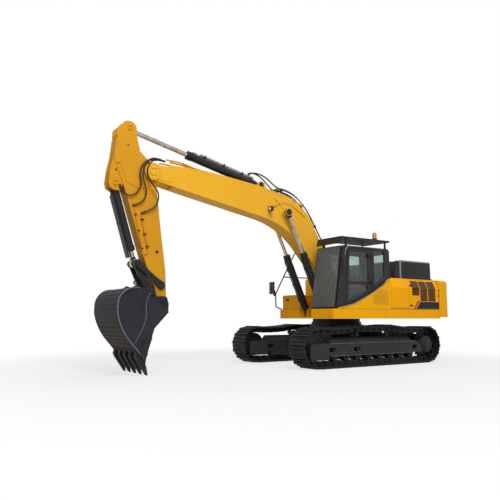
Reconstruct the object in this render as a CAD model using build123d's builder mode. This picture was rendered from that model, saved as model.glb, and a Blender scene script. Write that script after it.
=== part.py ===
"""Crawler excavator of about 36 tonnes, full size, in millimetres.

The frame stands on the ground at z = 0 with +X towards the bucket, +Y towards the cab and +Z up.
Its origin is under the middle of the machine's length. Every outline below is drawn in the
machine's own coordinates, which start at the slewing axis.
"""
from build123d import *
from math import hypot, sqrt
import os

os.makedirs("parts", exist_ok=True)

# ---------------------------------------------------------------- driving dimensions
SLEW_X = -1720            # slewing axis from the middle of the machine's length

GAUGE = 2590              # between the track centres
SHOE_W = 600
AXLE_X = 2025             # idler and sprocket axles from the slewing axis
TRACK_R = 472             # outside of the shoe plates round the ends
GROUSER = 36              # height of the grouser bars
AXLE_Z = TRACK_R + GROUSER
SHOE_T = 14
CHAIN_H = 125             # link height under the shoe plate
SHOES = 48
ROLLER_R = 108
ROLLERS = 8
CARRIER_X = (-500, 600)   # carrier rollers
CARRIER_Z = 815
CARRIER_R = 60
FRAME_Z = (400, 620)      # box beam of each track frame

DECK_Z = 1220             # underside of the upper frame
SKIRT_Z = 1470            # top of the side beams
BODY_Z = 2330             # top of the housings
HALF_W = 1500             # half width of the upper structure
REAR_X = -2680            # joint between frame and counterweight
TAIL_R = 3450             # tail swing radius

CAB_X = (-660, 1320)      # rear wall, front sill
CAB_Y = (515, 1450)       # towards the boom, left side
CAB_Z = (1480, 3110)

# pins of the working gear as (x, z)
FOOT = (150, 2000)        # boom foot
LIFT_BASE = (760, 1400)   # boom cylinders on the frame
LIFT_EYE = (1990, 4030)   # boom cylinders on the boom
NOSE = (5820, 4610)       # arm on the boom
CROWD_BASE = (2710, 4720)
CROWD_EYE = (6380, 5570)
TIP = (5520, 1580)        # bucket on the arm
ROCKER = (5550, 1980)     # rockers on the arm
KNUCKLE = (6140, 2460)    # rockers, link and bucket cylinder
EAR = (5820, 1800)        # link on the bucket
CURL_BASE = (6690, 4240)

BOOM_HW = 220             # half width of the boom box
ARM_HW = 160
LIFT_Y = 365              # boom cylinders to each side of the boom
BUCKET_HW = 720
FORK_Y = 175              # inside of the boom's nose fork
GAP = 5                   # running clearance beside pins


# ---------------------------------------------------------------- planes and short forms
def side(y):
    """Upright plane along the machine; sketches in it use the machine's x and z."""
    return Plane(origin=(SLEW_X, y, 0), x_dir=(1, 0, 0), z_dir=(0, -1, 0))


def level(z):
    return Plane(origin=(SLEW_X, 0, z), x_dir=(1, 0, 0), z_dir=(0, 0, 1))


def across(x):
    """Upright plane across the machine; sketches in it use the machine's y and z."""
    return Plane(origin=(SLEW_X + x, 0, 0), x_dir=(0, 1, 0), z_dir=(1, 0, 0))


def plate(points, y_low, y_high, mode=Mode.ADD):
    """A plate with a straight-sided outline of (x, z) points, from y_low to y_high."""
    with BuildSketch(side(y_high)) as outline:
        with BuildLine():
            Polyline(*points, close=True)
        make_face()
    extrude(outline.sketch, amount=y_high - y_low, mode=mode)


def disc(centre, radius, y_low, y_high, mode=Mode.ADD):
    with BuildSketch(side(y_high)) as outline:
        with Locations(centre):
            Circle(radius)
    extrude(outline.sketch, amount=y_high - y_low, mode=mode)


def block(x, y, z, mode=Mode.ADD, corner=0):
    """A box between pairs of x, y and z, its upright edges rounded by corner."""
    with BuildSketch(level(z[0])) as outline:
        with Locations(((x[0] + x[1]) / 2, (y[0] + y[1]) / 2)):
            if corner:
                RectangleRounded(x[1] - x[0], y[1] - y[0], corner)
            else:
                Rectangle(x[1] - x[0], y[1] - y[0])
    extrude(outline.sketch, amount=z[1] - z[0], mode=mode)


def window(x, z, y_low, y_high, corner):
    """A round-cornered opening cut along y."""
    with BuildSketch(side(y_high)) as outline:
        with Locations(((x[0] + x[1]) / 2, (z[0] + z[1]) / 2)):
            RectangleRounded(x[1] - x[0], z[1] - z[0], corner)
    extrude(outline.sketch, amount=y_high - y_low, mode=Mode.SUBTRACT)


def pane(points, corner, y_low, y_high, mode=Mode.ADD, grow=0):
    """A plate with rounded corners from (x, z) points, or the opening for one."""
    with BuildSketch(side(y_high)) as outline:
        with BuildLine():
            Polyline(*points, close=True)
        make_face()
        if grow:
            offset(amount=grow, kind=Kind.INTERSECTION)
        if corner:
            fillet(outline.vertices(), corner)
    extrude(outline.sketch, amount=y_high - y_low, mode=mode)


def pipe(points, radius, bend):
    """A round bar or hose along (x, y, z) points of the machine."""
    with BuildLine(Plane(origin=(SLEW_X, 0, 0))) as route:
        FilletPolyline(*points, radius=bend)
    with BuildSketch(Plane(route.line @ 0, z_dir=route.line % 0)) as section:
        Circle(radius)
    sweep(section.sketch, path=route.line)


def axis_plane(start, end, y):
    """Plane at start that looks along the line to end, both (x, z), for a cylinder's sections."""
    return Plane(origin=(SLEW_X + start[0], y, start[1]), x_dir=(0, 1, 0),
                 z_dir=(end[0] - start[0], 0, end[1] - start[1]))


def save(piece, name):
    piece.label = name
    export_step(piece, f"parts/{name}.step")


# ---------------------------------------------------------------- undercarriage
with BuildPart() as carbody:
    block((-760, 760), (-640, 640), (430, 960))
    chamfer(carbody.edges().filter_by(Axis.Z), 120)
    for x in (-760, 760):
        for turn in (1, -1):
            with BuildSketch(across(x - 210)):
                with BuildLine():
                    Polyline((turn * 500, 450), (turn * 1090, 400), (turn * 1090, 615),
                             (turn * 620, 900), (turn * 500, 900), close=True)
                make_face()
            extrude(amount=420)
    with BuildSketch(level(955)):
        Circle(760)
    extrude(amount=95)
save(carbody.part, "carbody")

with BuildPart() as swing_bearing:
    with BuildSketch(level(1050)):
        Circle(700)
        Circle(520, mode=Mode.SUBTRACT)
    extrude(amount=80)
    with BuildSketch(level(1130)):
        Circle(665)
        Circle(520, mode=Mode.SUBTRACT)
    extrude(amount=DECK_Z - GAP - 1130)
save(swing_bearing.part, "swing_bearing")

# centre of each track, and the direction from it towards the outside
TRACKS = (("left", GAUGE / 2, 1), ("right", -GAUGE / 2, -1))
LINK_Y = (50, 105)        # each chain rail from the track's centre
INNER_R = TRACK_R - SHOE_T - CHAIN_H


def loop_points():
    """Joints of the shoe loop, walked round the outside of the plates at one pitch."""
    bottom = AXLE_Z - TRACK_R
    top = AXLE_Z + TRACK_R
    with BuildLine() as loop:
        low = Line((-AXLE_X, bottom), (AXLE_X, bottom))
        front = ThreePointArc(low @ 1, (AXLE_X + TRACK_R, AXLE_Z), (AXLE_X, top))
        sag_front = SagittaArc(front @ 1, (CARRIER_X[1], 1030), 45)
        sag_middle = SagittaArc(sag_front @ 1, (CARRIER_X[0], 1030), 25)
        sag_rear = SagittaArc(sag_middle @ 1, (-AXLE_X, top), 45)
        ThreePointArc(sag_rear @ 1, (-AXLE_X - TRACK_R, AXLE_Z), low @ 0)
    wire = loop.wire()
    step = wire.length / SHOES
    corners = [wire.position_at(step * i, PositionMode.LENGTH) for i in range(SHOES)]
    return [(corner.X, corner.Y) for corner in corners]


# one shoe's grouser bars as (start, top start, top end, end) along it, in shares of the pitch
BARS = ((0.02, 0.05, 0.10, 0.13), (0.43, 0.46, 0.51, 0.54), (0.83, 0.86, 0.91, 0.94))


def shoe_outline(joints):
    points = []
    for start, end in zip(joints, joints[1:] + joints[:1]):
        run = (end[0] - start[0], end[1] - start[1])
        length = hypot(*run)
        outward = (run[1] / length, -run[0] / length)
        for bar in BARS:
            for share, height in zip(bar, (0, GROUSER, GROUSER, 0)):
                points.append((start[0] + run[0] * share + outward[0] * height,
                               start[1] + run[1] * share + outward[1] * height))
    return points


def inset(joints, depth):
    """The loop's joints moved inwards by a depth."""
    points = []
    for before, here, after in zip(joints[-1:] + joints[:-1], joints, joints[1:] + joints[:1]):
        run = (after[0] - before[0], after[1] - before[1])
        length = hypot(*run)
        points.append((here[0] - run[1] / length * depth, here[1] + run[0] / length * depth))
    return points


def without_straights(points, slack=1.5):
    """The outline without the points that lie on a straight run of it."""
    kept = []
    for before, here, after in zip(points[-1:] + points[:-1], points, points[1:] + points[:1]):
        run = (after[0] - before[0], after[1] - before[1])
        off = abs(run[0] * (here[1] - before[1]) - run[1] * (here[0] - before[0])) / hypot(*run)
        if off > slack:
            kept.append(here)
    return kept


JOINTS = loop_points()
for name, centre, outer in TRACKS:
    with BuildPart() as track:
        with BuildSketch(side(centre + SHOE_W / 2)):
            with BuildLine():
                Polyline(*shoe_outline(JOINTS), close=True)
            make_face()
            with BuildLine():
                Polyline(*without_straights(inset(JOINTS, SHOE_T)), close=True)
            make_face(mode=Mode.SUBTRACT)
        extrude(amount=SHOE_W)
        for low, high in (LINK_Y, (-LINK_Y[1], -LINK_Y[0])):
            with BuildSketch(side(centre + high)):
                with BuildLine():
                    Polyline(*without_straights(inset(JOINTS, SHOE_T / 2)), close=True)
                make_face()
                with BuildLine():
                    Polyline(*without_straights(inset(JOINTS, SHOE_T + CHAIN_H)), close=True)
                make_face(mode=Mode.SUBTRACT)
            extrude(amount=high - low)
    save(track.part, f"{name}_track")

RAIL_Z = AXLE_Z - INNER_R          # top of the chain's lower run
ROLLER_Z = RAIL_Z + ROLLER_R + 3
BEAM_Y = 205                       # half width of a track frame's beam
SKIRT_T = 22                       # thickness of its side plates
PLATE_FOOT = 300                   # lower edge of the side plates
COVER_Z = (210, 600)               # cover over the idler at the front of a side plate
COVER_NOSE = 2235
ROOF_X = (-1400, 1560)             # sloped roof that sheds mud from the beam
RIDGE_Y = 60
RIDGE_Z = 745
CARRIER_Y = 60                     # half width of a carrier roller's bracket
LIP = 14                           # flange and cover stand out from the side plate
IDLER_ARM_Y = (115, 165)           # fork that guides each idler
SPINDLE_X = -AXLE_X
FORK_X = -AXLE_X + 60
LIGHTENING = ((-1530, 190), (670, 230), (1510, 230))   # middle and length of the openings
OPENING_Z = (400, 505)

for name, centre, outer in TRACKS:
    with BuildPart() as track_frame:
        plate([(-1630, FRAME_Z[0]), (1560, FRAME_Z[0]), (1640, FRAME_Z[0] + 40),
               (1640, FRAME_Z[1]), (-1560, FRAME_Z[1]), (-1630, FRAME_Z[1] - 60)],
              centre - BEAM_Y, centre + BEAM_Y)
        for low, high in ((centre - BEAM_Y, centre - BEAM_Y + SKIRT_T),
                          (centre + BEAM_Y - SKIRT_T, centre + BEAM_Y)):
            plate([(-1560, FRAME_Z[1]), (-1720, 560), (-1840, PLATE_FOOT + 40), (-1820, PLATE_FOOT),
                   (1620, PLATE_FOOT), (1620, COVER_Z[0]), (2190, COVER_Z[0]), (COVER_NOSE, 260),
                   (COVER_NOSE, 540), (2170, COVER_Z[1]), (1640, FRAME_Z[1])], low, high)
        low, high = sorted((centre + outer * BEAM_Y, centre + outer * (BEAM_Y + LIP)))
        plate([(-1820, PLATE_FOOT), (1620, PLATE_FOOT), (1620, PLATE_FOOT + 16), (-1820, PLATE_FOOT + 16)],
              low, high)
        plate([(1650, COVER_Z[0] + 15), (2180, COVER_Z[0] + 15), (COVER_NOSE - 20, 270),
               (COVER_NOSE - 20, 535), (2160, COVER_Z[1] - 12), (1650, FRAME_Z[1] - 12)], low, high)
        for low, high in ((centre - IDLER_ARM_Y[1], centre - IDLER_ARM_Y[0]),
                          (centre + IDLER_ARM_Y[0], centre + IDLER_ARM_Y[1])):
            plate([(1500, 430), (2080, 445), (2130, 485), (2080, 560), (1500, 590)], low, high)
        with BuildSketch(across(ROOF_X[0])):
            with BuildLine():
                Polyline((centre - BEAM_Y, FRAME_Z[1] - 5), (centre + BEAM_Y, FRAME_Z[1] - 5),
                         (centre + RIDGE_Y, RIDGE_Z), (centre - RIDGE_Y, RIDGE_Z), close=True)
            make_face()
        extrude(amount=ROOF_X[1] - ROOF_X[0])
        for x in CARRIER_X:
            block((x - 60, x + 60), (centre - CARRIER_Y, centre + CARRIER_Y), (FRAME_Z[1] - 5, 830))
        for x, length in LIGHTENING:
            window((x - length / 2, x + length / 2), OPENING_Z, centre - 300, centre + 300, 40)
        disc((SPINDLE_X + 30, AXLE_Z), 235, centre - outer * 60 - 120 * (outer > 0),
             centre - outer * 60 + 120 * (outer < 0))
        plate([(FORK_X, 430), (-1600, 430), (-1600, 590), (FORK_X, 610)],
              min(centre - outer * 60, centre - outer * 180),
              max(centre - outer * 60, centre - outer * 180))
    save(track_frame.part, f"{name}_track_frame")

with BuildPart() as track_rollers:
    for name, centre, outer in TRACKS:
        for i in range(ROLLERS):
            spot = (-1400 + i * 2800 / (ROLLERS - 1), ROLLER_Z)
            disc(spot, ROLLER_R, centre - 150, centre + 150)
            disc(spot, 45, centre - BEAM_Y + SKIRT_T, centre + BEAM_Y - SKIRT_T)
        for x in CARRIER_X:
            for low, high in ((centre - 130, centre - CARRIER_Y), (centre + CARRIER_Y, centre + 130)):
                disc((x, CARRIER_Z), CARRIER_R, low, high)
save(track_rollers.part, "track_rollers")

with BuildPart() as idlers:
    for name, centre, outer in TRACKS:
        disc((AXLE_X, AXLE_Z), INNER_R - 14, centre - 90, centre + 90)
        disc((AXLE_X, AXLE_Z), INNER_R - 70, centre - 90, centre - 70, Mode.SUBTRACT)
        disc((AXLE_X, AXLE_Z), INNER_R - 70, centre + 70, centre + 90, Mode.SUBTRACT)
        disc((AXLE_X, AXLE_Z), 70, centre - IDLER_ARM_Y[0], centre + IDLER_ARM_Y[0])
save(idlers.part, "idlers")

TEETH = 21
TOOTH_ROOT = INNER_R - 30
TOOTH_TIP = INNER_R + 34
SPROCKET_T = 76
with BuildPart() as sprockets:
    for name, centre, outer in TRACKS:
        with BuildSketch(side(centre + SPROCKET_T / 2)):
            with Locations((-AXLE_X, AXLE_Z)):
                Circle(TOOTH_ROOT)
                with PolarLocations(TOOTH_ROOT, TEETH):
                    Trapezoid(62, 2 * (TOOTH_TIP - TOOTH_ROOT), 80, rotation=-90)
        extrude(amount=SPROCKET_T)
save(sprockets.part, "sprockets")

with BuildPart() as final_drives:
    for name, centre, outer in TRACKS:
        low, high = sorted((centre + outer * 45, centre + outer * 200))
        disc((-AXLE_X, AXLE_Z), 225, low, high)
        low, high = sorted((centre + outer * 200, centre + outer * 235))
        disc((-AXLE_X, AXLE_Z), 190, low, high)
        low, high = sorted((centre + outer * 235, centre + outer * 250))
        disc((-AXLE_X, AXLE_Z), 120, low, high)
save(final_drives.part, "final_drives")

TOW_Y = 350
TOW_X = 845
TOW_Z = (490, 540)
with BuildPart() as tow_eyes:
    for y in (-TOW_Y, TOW_Y):
        block((760, TOW_X), (y - 75, y + 75), TOW_Z)
        with BuildSketch(level(TOW_Z[0])):
            with Locations((TOW_X, y)):
                Circle(75)
        extrude(amount=TOW_Z[1] - TOW_Z[0])
        with BuildSketch(level(TOW_Z[0])):
            with Locations((TOW_X, y)):
                Circle(32)
        extrude(amount=TOW_Z[1] - TOW_Z[0], mode=Mode.SUBTRACT)
save(tow_eyes.part, "tow_eyes")

# ---------------------------------------------------------------- upper frame
SLOT_Y = 560
EAR_T = 28
BARREL_EYE = 55           # half width of a cylinder's eye
LIFT_GAP = 98             # inside of the ears from the cylinder's axis
BOSS_R = 72               # bosses that hold an eye between its ears
ROOF_IN = 330             # inner edge of the housings' roofs

with BuildPart() as upper_frame:
    with BuildSketch(level(DECK_Z)):
        with BuildLine():
            Polyline((REAR_X, -HALF_W), (860, -HALF_W), (860, -SLOT_Y), (890, -SLOT_Y),
                     (890, SLOT_Y), (1400, SLOT_Y), (1400, HALF_W - 90), (1310, HALF_W),
                     (REAR_X, HALF_W), close=True)
        make_face()
    extrude(amount=45)
    for low, high, front in ((HALF_W - 70, HALF_W, 1310), (-HALF_W, -HALF_W + 70, 860)):
        block((REAR_X, front), (low, high), (DECK_Z, SKIRT_Z))
    block((1330, 1400), (SLOT_Y, HALF_W - 90), (DECK_Z, SKIRT_Z))
    with BuildSketch(level(DECK_Z)):
        with BuildLine():
            Polyline((1400, HALF_W - 90), (1310, HALF_W), (1310, HALF_W - 70), (1330, HALF_W - 90),
                     close=True)
        make_face()
    extrude(amount=SKIRT_Z - DECK_Z)
    block((790, 860), (-HALF_W, -SLOT_Y), (DECK_Z, SKIRT_Z))
    for y in (SLOT_Y, -SLOT_Y - 40):
        block((-1200, 1400 if y > 0 else 860), (y, y + 40), (DECK_Z, SKIRT_Z))
    for x in (-1200, -640):
        block((x, x + 40), (SLOT_Y, HALF_W), (DECK_Z, SKIRT_Z))
        block((x, x + 40), (-HALF_W, -SLOT_Y), (DECK_Z, SKIRT_Z))
    for y in (300, -360):
        plate([(REAR_X, DECK_Z), (REAR_X, 1640), (-500, 1760), (-60, 2080), (0, 2150), (90, 2185),
               (210, 2185), (300, 2150), (350, 2050), (360, 1900), (560, 1560), (590, DECK_Z)],
              y, y + 60)
    block((-640, -600), (-ROOF_IN, ROOF_IN), (DECK_Z, BODY_Z - 30))
    block((-1235, -600), (-ROOF_IN + GAP, ROOF_IN - GAP), (BODY_Z - 30, BODY_Z))
    for y in (LIFT_Y, -LIFT_Y):
        for turn in (1, -1):
            low, high = sorted((y + turn * LIFT_GAP, y + turn * (LIFT_GAP + EAR_T)))
            plate([(520, DECK_Z), (520, 1380), (660, 1460), (700, 1490), (760, 1510), (830, 1490),
                   (870, 1400), (870, DECK_Z)], low, high)
            low, high = sorted((y + turn * (BARREL_EYE + GAP), y + turn * LIFT_GAP))
            disc(LIFT_BASE, BOSS_R, low, high)
save(upper_frame.part, "upper_frame")

with BuildPart() as counterweight:
    with BuildSketch(level(DECK_Z + 40)):
        with BuildLine():
            corner_x = -sqrt(TAIL_R ** 2 - HALF_W ** 2)
            rear = ThreePointArc((corner_x, -HALF_W), (-TAIL_R, 0), (corner_x, HALF_W))
            Polyline(rear @ 1, (REAR_X - 6, HALF_W), (REAR_X - 6, -HALF_W), rear @ 0)
        make_face()
        fillet(vertices().group_by(Axis.X)[0], 260)
    extrude(amount=BODY_Z - DECK_Z - 40)
    fillet(counterweight.edges().group_by(Axis.Z)[-1].sort_by(Axis.X)[0:3], 90)
save(counterweight.part, "counterweight")

with BuildPart() as engine_block:
    block((-2450, -1350), (-280, 280), (DECK_Z + 45, 2250))
save(engine_block.part, "engine_block")

# ---------------------------------------------------------------- housings
PANEL_T = 40              # thickness of a housing wall or door
FALL_Z = 2070             # lower edge of the sloped shoulder
FALL_Y = 1370             # upper edge of the sloped shoulder
SHOULDER = ((HALF_W, FALL_Z), (FALL_Y, BODY_Z))
LINING = ((FALL_Y - 25, BODY_Z - PANEL_T), (HALF_W - PANEL_T, FALL_Z - 10))
DOOR_Z = (1480, 2296)
SEAM = 6
SWING = 18                # wider seam at the edge that swings out

# top edge of the fairing under the cab, from its front end back to the housing
SILL = ((1290, 1490), (1090, 1530), (750, 1605), (400, 1735), (50, 1900), (-320, 2080), (-560, 2290))

# openings in each side door as (front, rear, foot, top), each with a framed louvre in it
LOUVRE_PITCH = 45
LOUVRE_T = 16
LOUVRES = ((-1500, -1810, 1870, 2045), (-1840, -2150, 1715, 2045), (-2180, -2500, 1715, 2045))

# each housing: side, front end, doorway's rear and front edges
HOUSINGS = (("left", 1, -700, (-2650, -1370)), ("right", -1, -850, (-2650, -1000)))


def mirrored(points, turn):
    return [(turn * y, z) for y, z in points]


def section(points, x_low, x_high, mode=Mode.ADD):
    """A form with a constant outline of (y, z) points, from x_low to x_high."""
    with BuildSketch(across(x_low)) as outline:
        with BuildLine():
            Polyline(*points, close=True)
        make_face()
    extrude(outline.sketch, amount=x_high - x_low, mode=mode)


for name, turn, front, doorway in HOUSINGS:
    with BuildPart() as housing:
        section(mirrored([(HALF_W, SKIRT_Z), *SHOULDER, (ROOF_IN, BODY_Z),
                          (ROOF_IN, BODY_Z - PANEL_T), *LINING, (HALF_W - PANEL_T, SKIRT_Z)], turn),
                REAR_X + SEAM, front)
        low, high = sorted((turn * (SLOT_Y + 40), turn * (HALF_W - PANEL_T - 30)))
        block((front - PANEL_T, front), (low, high), (DECK_Z + 45, 2050))
        if name == "left":
            plate([(front - PANEL_T, SKIRT_Z), (SILL[0][0], SKIRT_Z), *SILL, (front - PANEL_T, 2060)],
                  HALF_W - PANEL_T, HALF_W)
        low, high = sorted((turn * (FALL_Y - 18), turn * (HALF_W + 10)))
        block((doorway[0], doorway[1]), (low, high), (DOOR_Z[0] - SEAM, DOOR_Z[1] + SEAM), Mode.SUBTRACT)
    save(housing.part, f"{name}_housing")

    with BuildPart() as side_door:
        section(mirrored([(HALF_W, DOOR_Z[0]), (HALF_W, FALL_Z), (FALL_Y + 17, DOOR_Z[1] + 3),
                          (FALL_Y - 12, DOOR_Z[1] - PANEL_T), (HALF_W - PANEL_T, FALL_Z - 10),
                          (HALF_W - PANEL_T, DOOR_Z[0])], turn),
                doorway[0] + SWING, doorway[1] - SEAM)
        for x_front, x_rear, foot, top in LOUVRES:
            low, high = sorted((turn * (HALF_W - PANEL_T - 5), turn * (HALF_W + 5)))
            block((x_rear, x_front), (low, high), (foot, top), Mode.SUBTRACT)
            with BuildSketch(side(turn * (HALF_W - PANEL_T / 2) + LOUVRE_T)):
                with Locations(((x_front + x_rear) / 2, (foot + top) / 2)):
                    with GridLocations(0, LOUVRE_PITCH, 1, round((top - foot) / LOUVRE_PITCH) - 1):
                        Rectangle(x_front - x_rear, LOUVRE_T)
            extrude(amount=2 * LOUVRE_T)
    save(side_door.part, f"{name}_side_door")

HOOD_X = (-2790, -1240)
HOOD_Y = (-900, 1150)
HOOD_Z = (BODY_Z + GAP, 2890)
HOOD_FORM = ((HOOD_X[0], HOOD_Z[0] - 150), (HOOD_X[1] + 110, HOOD_Z[0] - 150),
             (HOOD_X[1] - 15, HOOD_Z[1] - 60), (HOOD_X[1] - 90, HOOD_Z[1] - 20),
             (HOOD_X[0] + 60, HOOD_Z[1]), (HOOD_X[0] + 10, HOOD_Z[1] - 30))
with BuildPart() as engine_hood:
    pane(HOOD_FORM, 25, *HOOD_Y)
    fillet(engine_hood.edges().filter_by(Axis.X, tolerance=5).group_by(Axis.Z)[-1], 45)
    pane(HOOD_FORM, 0, HOOD_Y[0] + 30, HOOD_Y[1] - 30, Mode.SUBTRACT, grow=-30)
    block((HOOD_X[0] - 50, HOOD_X[1] + 200), (HOOD_Y[0] - 10, HOOD_Y[1] + 10),
          (HOOD_Z[0] - 200, HOOD_Z[0]), Mode.SUBTRACT)
save(engine_hood.part, "engine_hood")

TANK_X = (-840, -90)
BOX_X = (-75, 790)
STORE_Y = (-1495, -605)
with BuildPart() as fuel_tank:
    block(TANK_X, STORE_Y, (SKIRT_Z, 2430), corner=60)
    chamfer(fuel_tank.edges().group_by(Axis.Z)[-1], 40)
save(fuel_tank.part, "fuel_tank")

with BuildPart() as toolbox:
    block(BOX_X, STORE_Y, (SKIRT_Z, 1900), corner=50)
    chamfer(toolbox.edges().group_by(Axis.Z)[-1], 25)
save(toolbox.part, "toolbox")

RAIL_Y = -1460
with BuildPart() as handrail:
    pipe([(825, RAIL_Y, SKIRT_Z + 18), (1050, RAIL_Y, 1560), (1060, RAIL_Y, 1940), (770, RAIL_Y, 2450),
          (310, RAIL_Y, 3220)], 18, 60)
    pipe([(765, RAIL_Y, 2465), (-280, RAIL_Y, 2465), (-280, RAIL_Y, 2431)], 18, 15)
save(handrail.part, "handrail")

MIRROR_Y = -1500
with BuildPart() as mirror:
    block((1150, 1180), (MIRROR_Y - 120, MIRROR_Y + 120), (1940, 2300), corner=10)
    block((1080, 1150), (MIRROR_Y - 12, MIRROR_Y + 12), (2030, 2054))
    block((1080, 1104), (MIRROR_Y - 12, MIRROR_Y + 60), (1880, 2054))
save(mirror.part, "mirror")

# ---------------------------------------------------------------- cab
WALL = 60
RAKE = (CAB_X[1] - 1060) / (CAB_Z[1] - CAB_Z[0])   # how far the front leans back per height


def front_x(z):
    return CAB_X[1] - (z - CAB_Z[0]) * RAKE


CAB_DOOR = ((1010, 1575), (905, 3020), (60, 3020), (60, 1930), (400, 1762), (750, 1632))
UPPER_PANE = ((895, 2185), (842, 2970), (150, 2970), (150, 2185))
LOWER_PANE = ((925, 1680), (897, 2105), (190, 2105), (190, 1965), (560, 1780))
QUARTER = ((-50, 3030), (-480, 3030), (-480, 2340), (-50, 2060))
SIDE_PANE = ((-450, 900), (2050, 2980))
REAR_PANE = ((650, 1320), (2420, 2980))
FRONT_PANE = (1600, 3000)


with BuildPart() as cab_shell:
    plate([(CAB_X[0], CAB_Z[0]), (CAB_X[1], CAB_Z[0]), (front_x(CAB_Z[1] - 60), CAB_Z[1] - 60),
           (front_x(CAB_Z[1]) - 60, CAB_Z[1]), (CAB_X[0] + 60, CAB_Z[1]), (CAB_X[0], CAB_Z[1] - 60)],
          *CAB_Y)
    plate([(CAB_X[0] + WALL, CAB_Z[0]), (CAB_X[1] - WALL, CAB_Z[0]),
           (front_x(CAB_Z[1]) - WALL - 50, CAB_Z[1] - WALL), (CAB_X[0] + WALL, CAB_Z[1] - WALL)],
          CAB_Y[0] + WALL, CAB_Y[1] - WALL, Mode.SUBTRACT)
    block((900, 1500), (CAB_Y[0] + 80, CAB_Y[1] - 80), FRONT_PANE, Mode.SUBTRACT)
    pane(CAB_DOOR, 40, CAB_Y[1] - WALL - 10, CAB_Y[1] + 10, Mode.SUBTRACT, grow=SEAM)
    pane(QUARTER, 50, CAB_Y[1] - WALL - 10, CAB_Y[1] + 10, Mode.SUBTRACT)
    window(*SIDE_PANE, CAB_Y[0] - 10, CAB_Y[0] + WALL + 10, 60)
    with BuildSketch(across(CAB_X[0] - 10)):
        with Locations(((REAR_PANE[0][0] + REAR_PANE[0][1]) / 2, sum(REAR_PANE[1]) / 2)):
            RectangleRounded(REAR_PANE[0][1] - REAR_PANE[0][0], REAR_PANE[1][1] - REAR_PANE[1][0], 60)
    extrude(amount=WALL + 20, mode=Mode.SUBTRACT)
save(cab_shell.part, "cab_shell")

GLASS_T = 8
with BuildPart() as cab_glass:
    low, high = FRONT_PANE
    plate([(front_x(low) - 34, low), (front_x(low) - 26, low), (front_x(high) - 26, high),
           (front_x(high) - 34, high)], CAB_Y[0] + 80, CAB_Y[1] - 80)
    pane(QUARTER, 50, CAB_Y[1] - 30 - GLASS_T, CAB_Y[1] - 30)
    with BuildSketch(side(CAB_Y[0] + 30)):
        with Locations((sum(SIDE_PANE[0]) / 2, sum(SIDE_PANE[1]) / 2)):
            RectangleRounded(SIDE_PANE[0][1] - SIDE_PANE[0][0], SIDE_PANE[1][1] - SIDE_PANE[1][0], 60)
    extrude(amount=GLASS_T)
    with BuildSketch(across(CAB_X[0] + 30)):
        with Locations((sum(REAR_PANE[0]) / 2, sum(REAR_PANE[1]) / 2)):
            RectangleRounded(REAR_PANE[0][1] - REAR_PANE[0][0], REAR_PANE[1][1] - REAR_PANE[1][0], 60)
    extrude(amount=GLASS_T)
save(cab_glass.part, "cab_glass")

HINGE = (40, 1520)        # cab door's hinge axis as (x, y)
HINGE_Z = (2150, 2850)
with BuildPart() as cab_door:
    pane(CAB_DOOR, 40, CAB_Y[1] - 38, CAB_Y[1] + 6)
    pane(UPPER_PANE, 60, CAB_Y[1] - 50, CAB_Y[1] + 10, Mode.SUBTRACT)
    pane(LOWER_PANE, 40, CAB_Y[1] - 50, CAB_Y[1] + 10, Mode.SUBTRACT)
    for z in HINGE_Z:
        block((HINGE[0], 130), (CAB_Y[1] + 6, HINGE[1] + 20), (z, z + 60))
save(cab_door.part, "cab_door")

with BuildPart() as cab_door_glass:
    pane(UPPER_PANE, 60, CAB_Y[1] - 20, CAB_Y[1] - 20 + GLASS_T)
    pane(LOWER_PANE, 40, CAB_Y[1] - 20, CAB_Y[1] - 20 + GLASS_T)
save(cab_door_glass.part, "cab_door_glass")

with BuildPart() as cab_floor:
    block((CAB_X[0] + WALL, CAB_X[1] - 80), (SLOT_Y + 40, CAB_Y[1] - WALL), (SKIRT_Z, 1530))
save(cab_floor.part, "cab_floor")

SEAT_Y = 985
with BuildPart() as seat:
    block((-150, 230), (SEAT_Y - 190, SEAT_Y + 190), (1530, 1860))
    block((-230, 300), (SEAT_Y - 250, SEAT_Y + 250), (1860, 1990), corner=50)
    plate([(-250, 1960), (-130, 1960), (-250, 2600), (-350, 2600)], SEAT_Y - 240, SEAT_Y + 240)
    plate([(-260, 2590), (-340, 2590), (-370, 2780), (-300, 2780)], SEAT_Y - 130, SEAT_Y + 130)
save(seat.part, "seat")

with BuildPart() as controls:
    for low, high in ((SEAT_Y - 380, SEAT_Y - 265), (SEAT_Y + 265, SEAT_Y + 380)):
        plate([(-200, 1530), (150, 1530), (330, 2020), (330, 2080), (-150, 2080)], low, high)
        disc((260, 2110), 22, (low + high) / 2 - 22, (low + high) / 2 + 22)
        plate([(240, 2070), (280, 2070), (290, 2230), (250, 2230)], (low + high) / 2 - 22,
              (low + high) / 2 + 22)
    for y in (SEAT_Y - 90, SEAT_Y + 90):
        plate([(800, 1530), (900, 1530), (960, 1640), (930, 1650)], y - 60, y + 60)
        plate([(850, 1560), (880, 1560), (820, 2050), (800, 2050)], y - 12, y + 12)
save(controls.part, "controls")

GUARD_OFF = 50
GUARD_H = 1600
GUARD_MID = CAB_Z[0] + GUARD_H / 2 + 20
with BuildPart() as front_guard:
    rake = Plane(origin=(SLEW_X + front_x(GUARD_MID) + GUARD_OFF, SEAT_Y, GUARD_MID),
                 x_dir=(0, 1, 0), z_dir=(1, 0, RAKE))
    with BuildSketch(rake):
        Rectangle(900, GUARD_H)
        Rectangle(840, GUARD_H - 60, mode=Mode.SUBTRACT)
        with GridLocations(62, 0, 13, 1):
            Rectangle(12, GUARD_H - 50)
        with GridLocations(0, 430, 1, 3):
            Rectangle(850, 16)
    extrude(amount=14)
    with BuildSketch(rake.offset(7)):
        with GridLocations(870, GUARD_H - 30, 2, 2):
            Rectangle(24, 24)
    extrude(amount=-(GUARD_OFF / sqrt(1 + RAKE ** 2) + 7))
save(front_guard.part, "front_guard")

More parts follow.
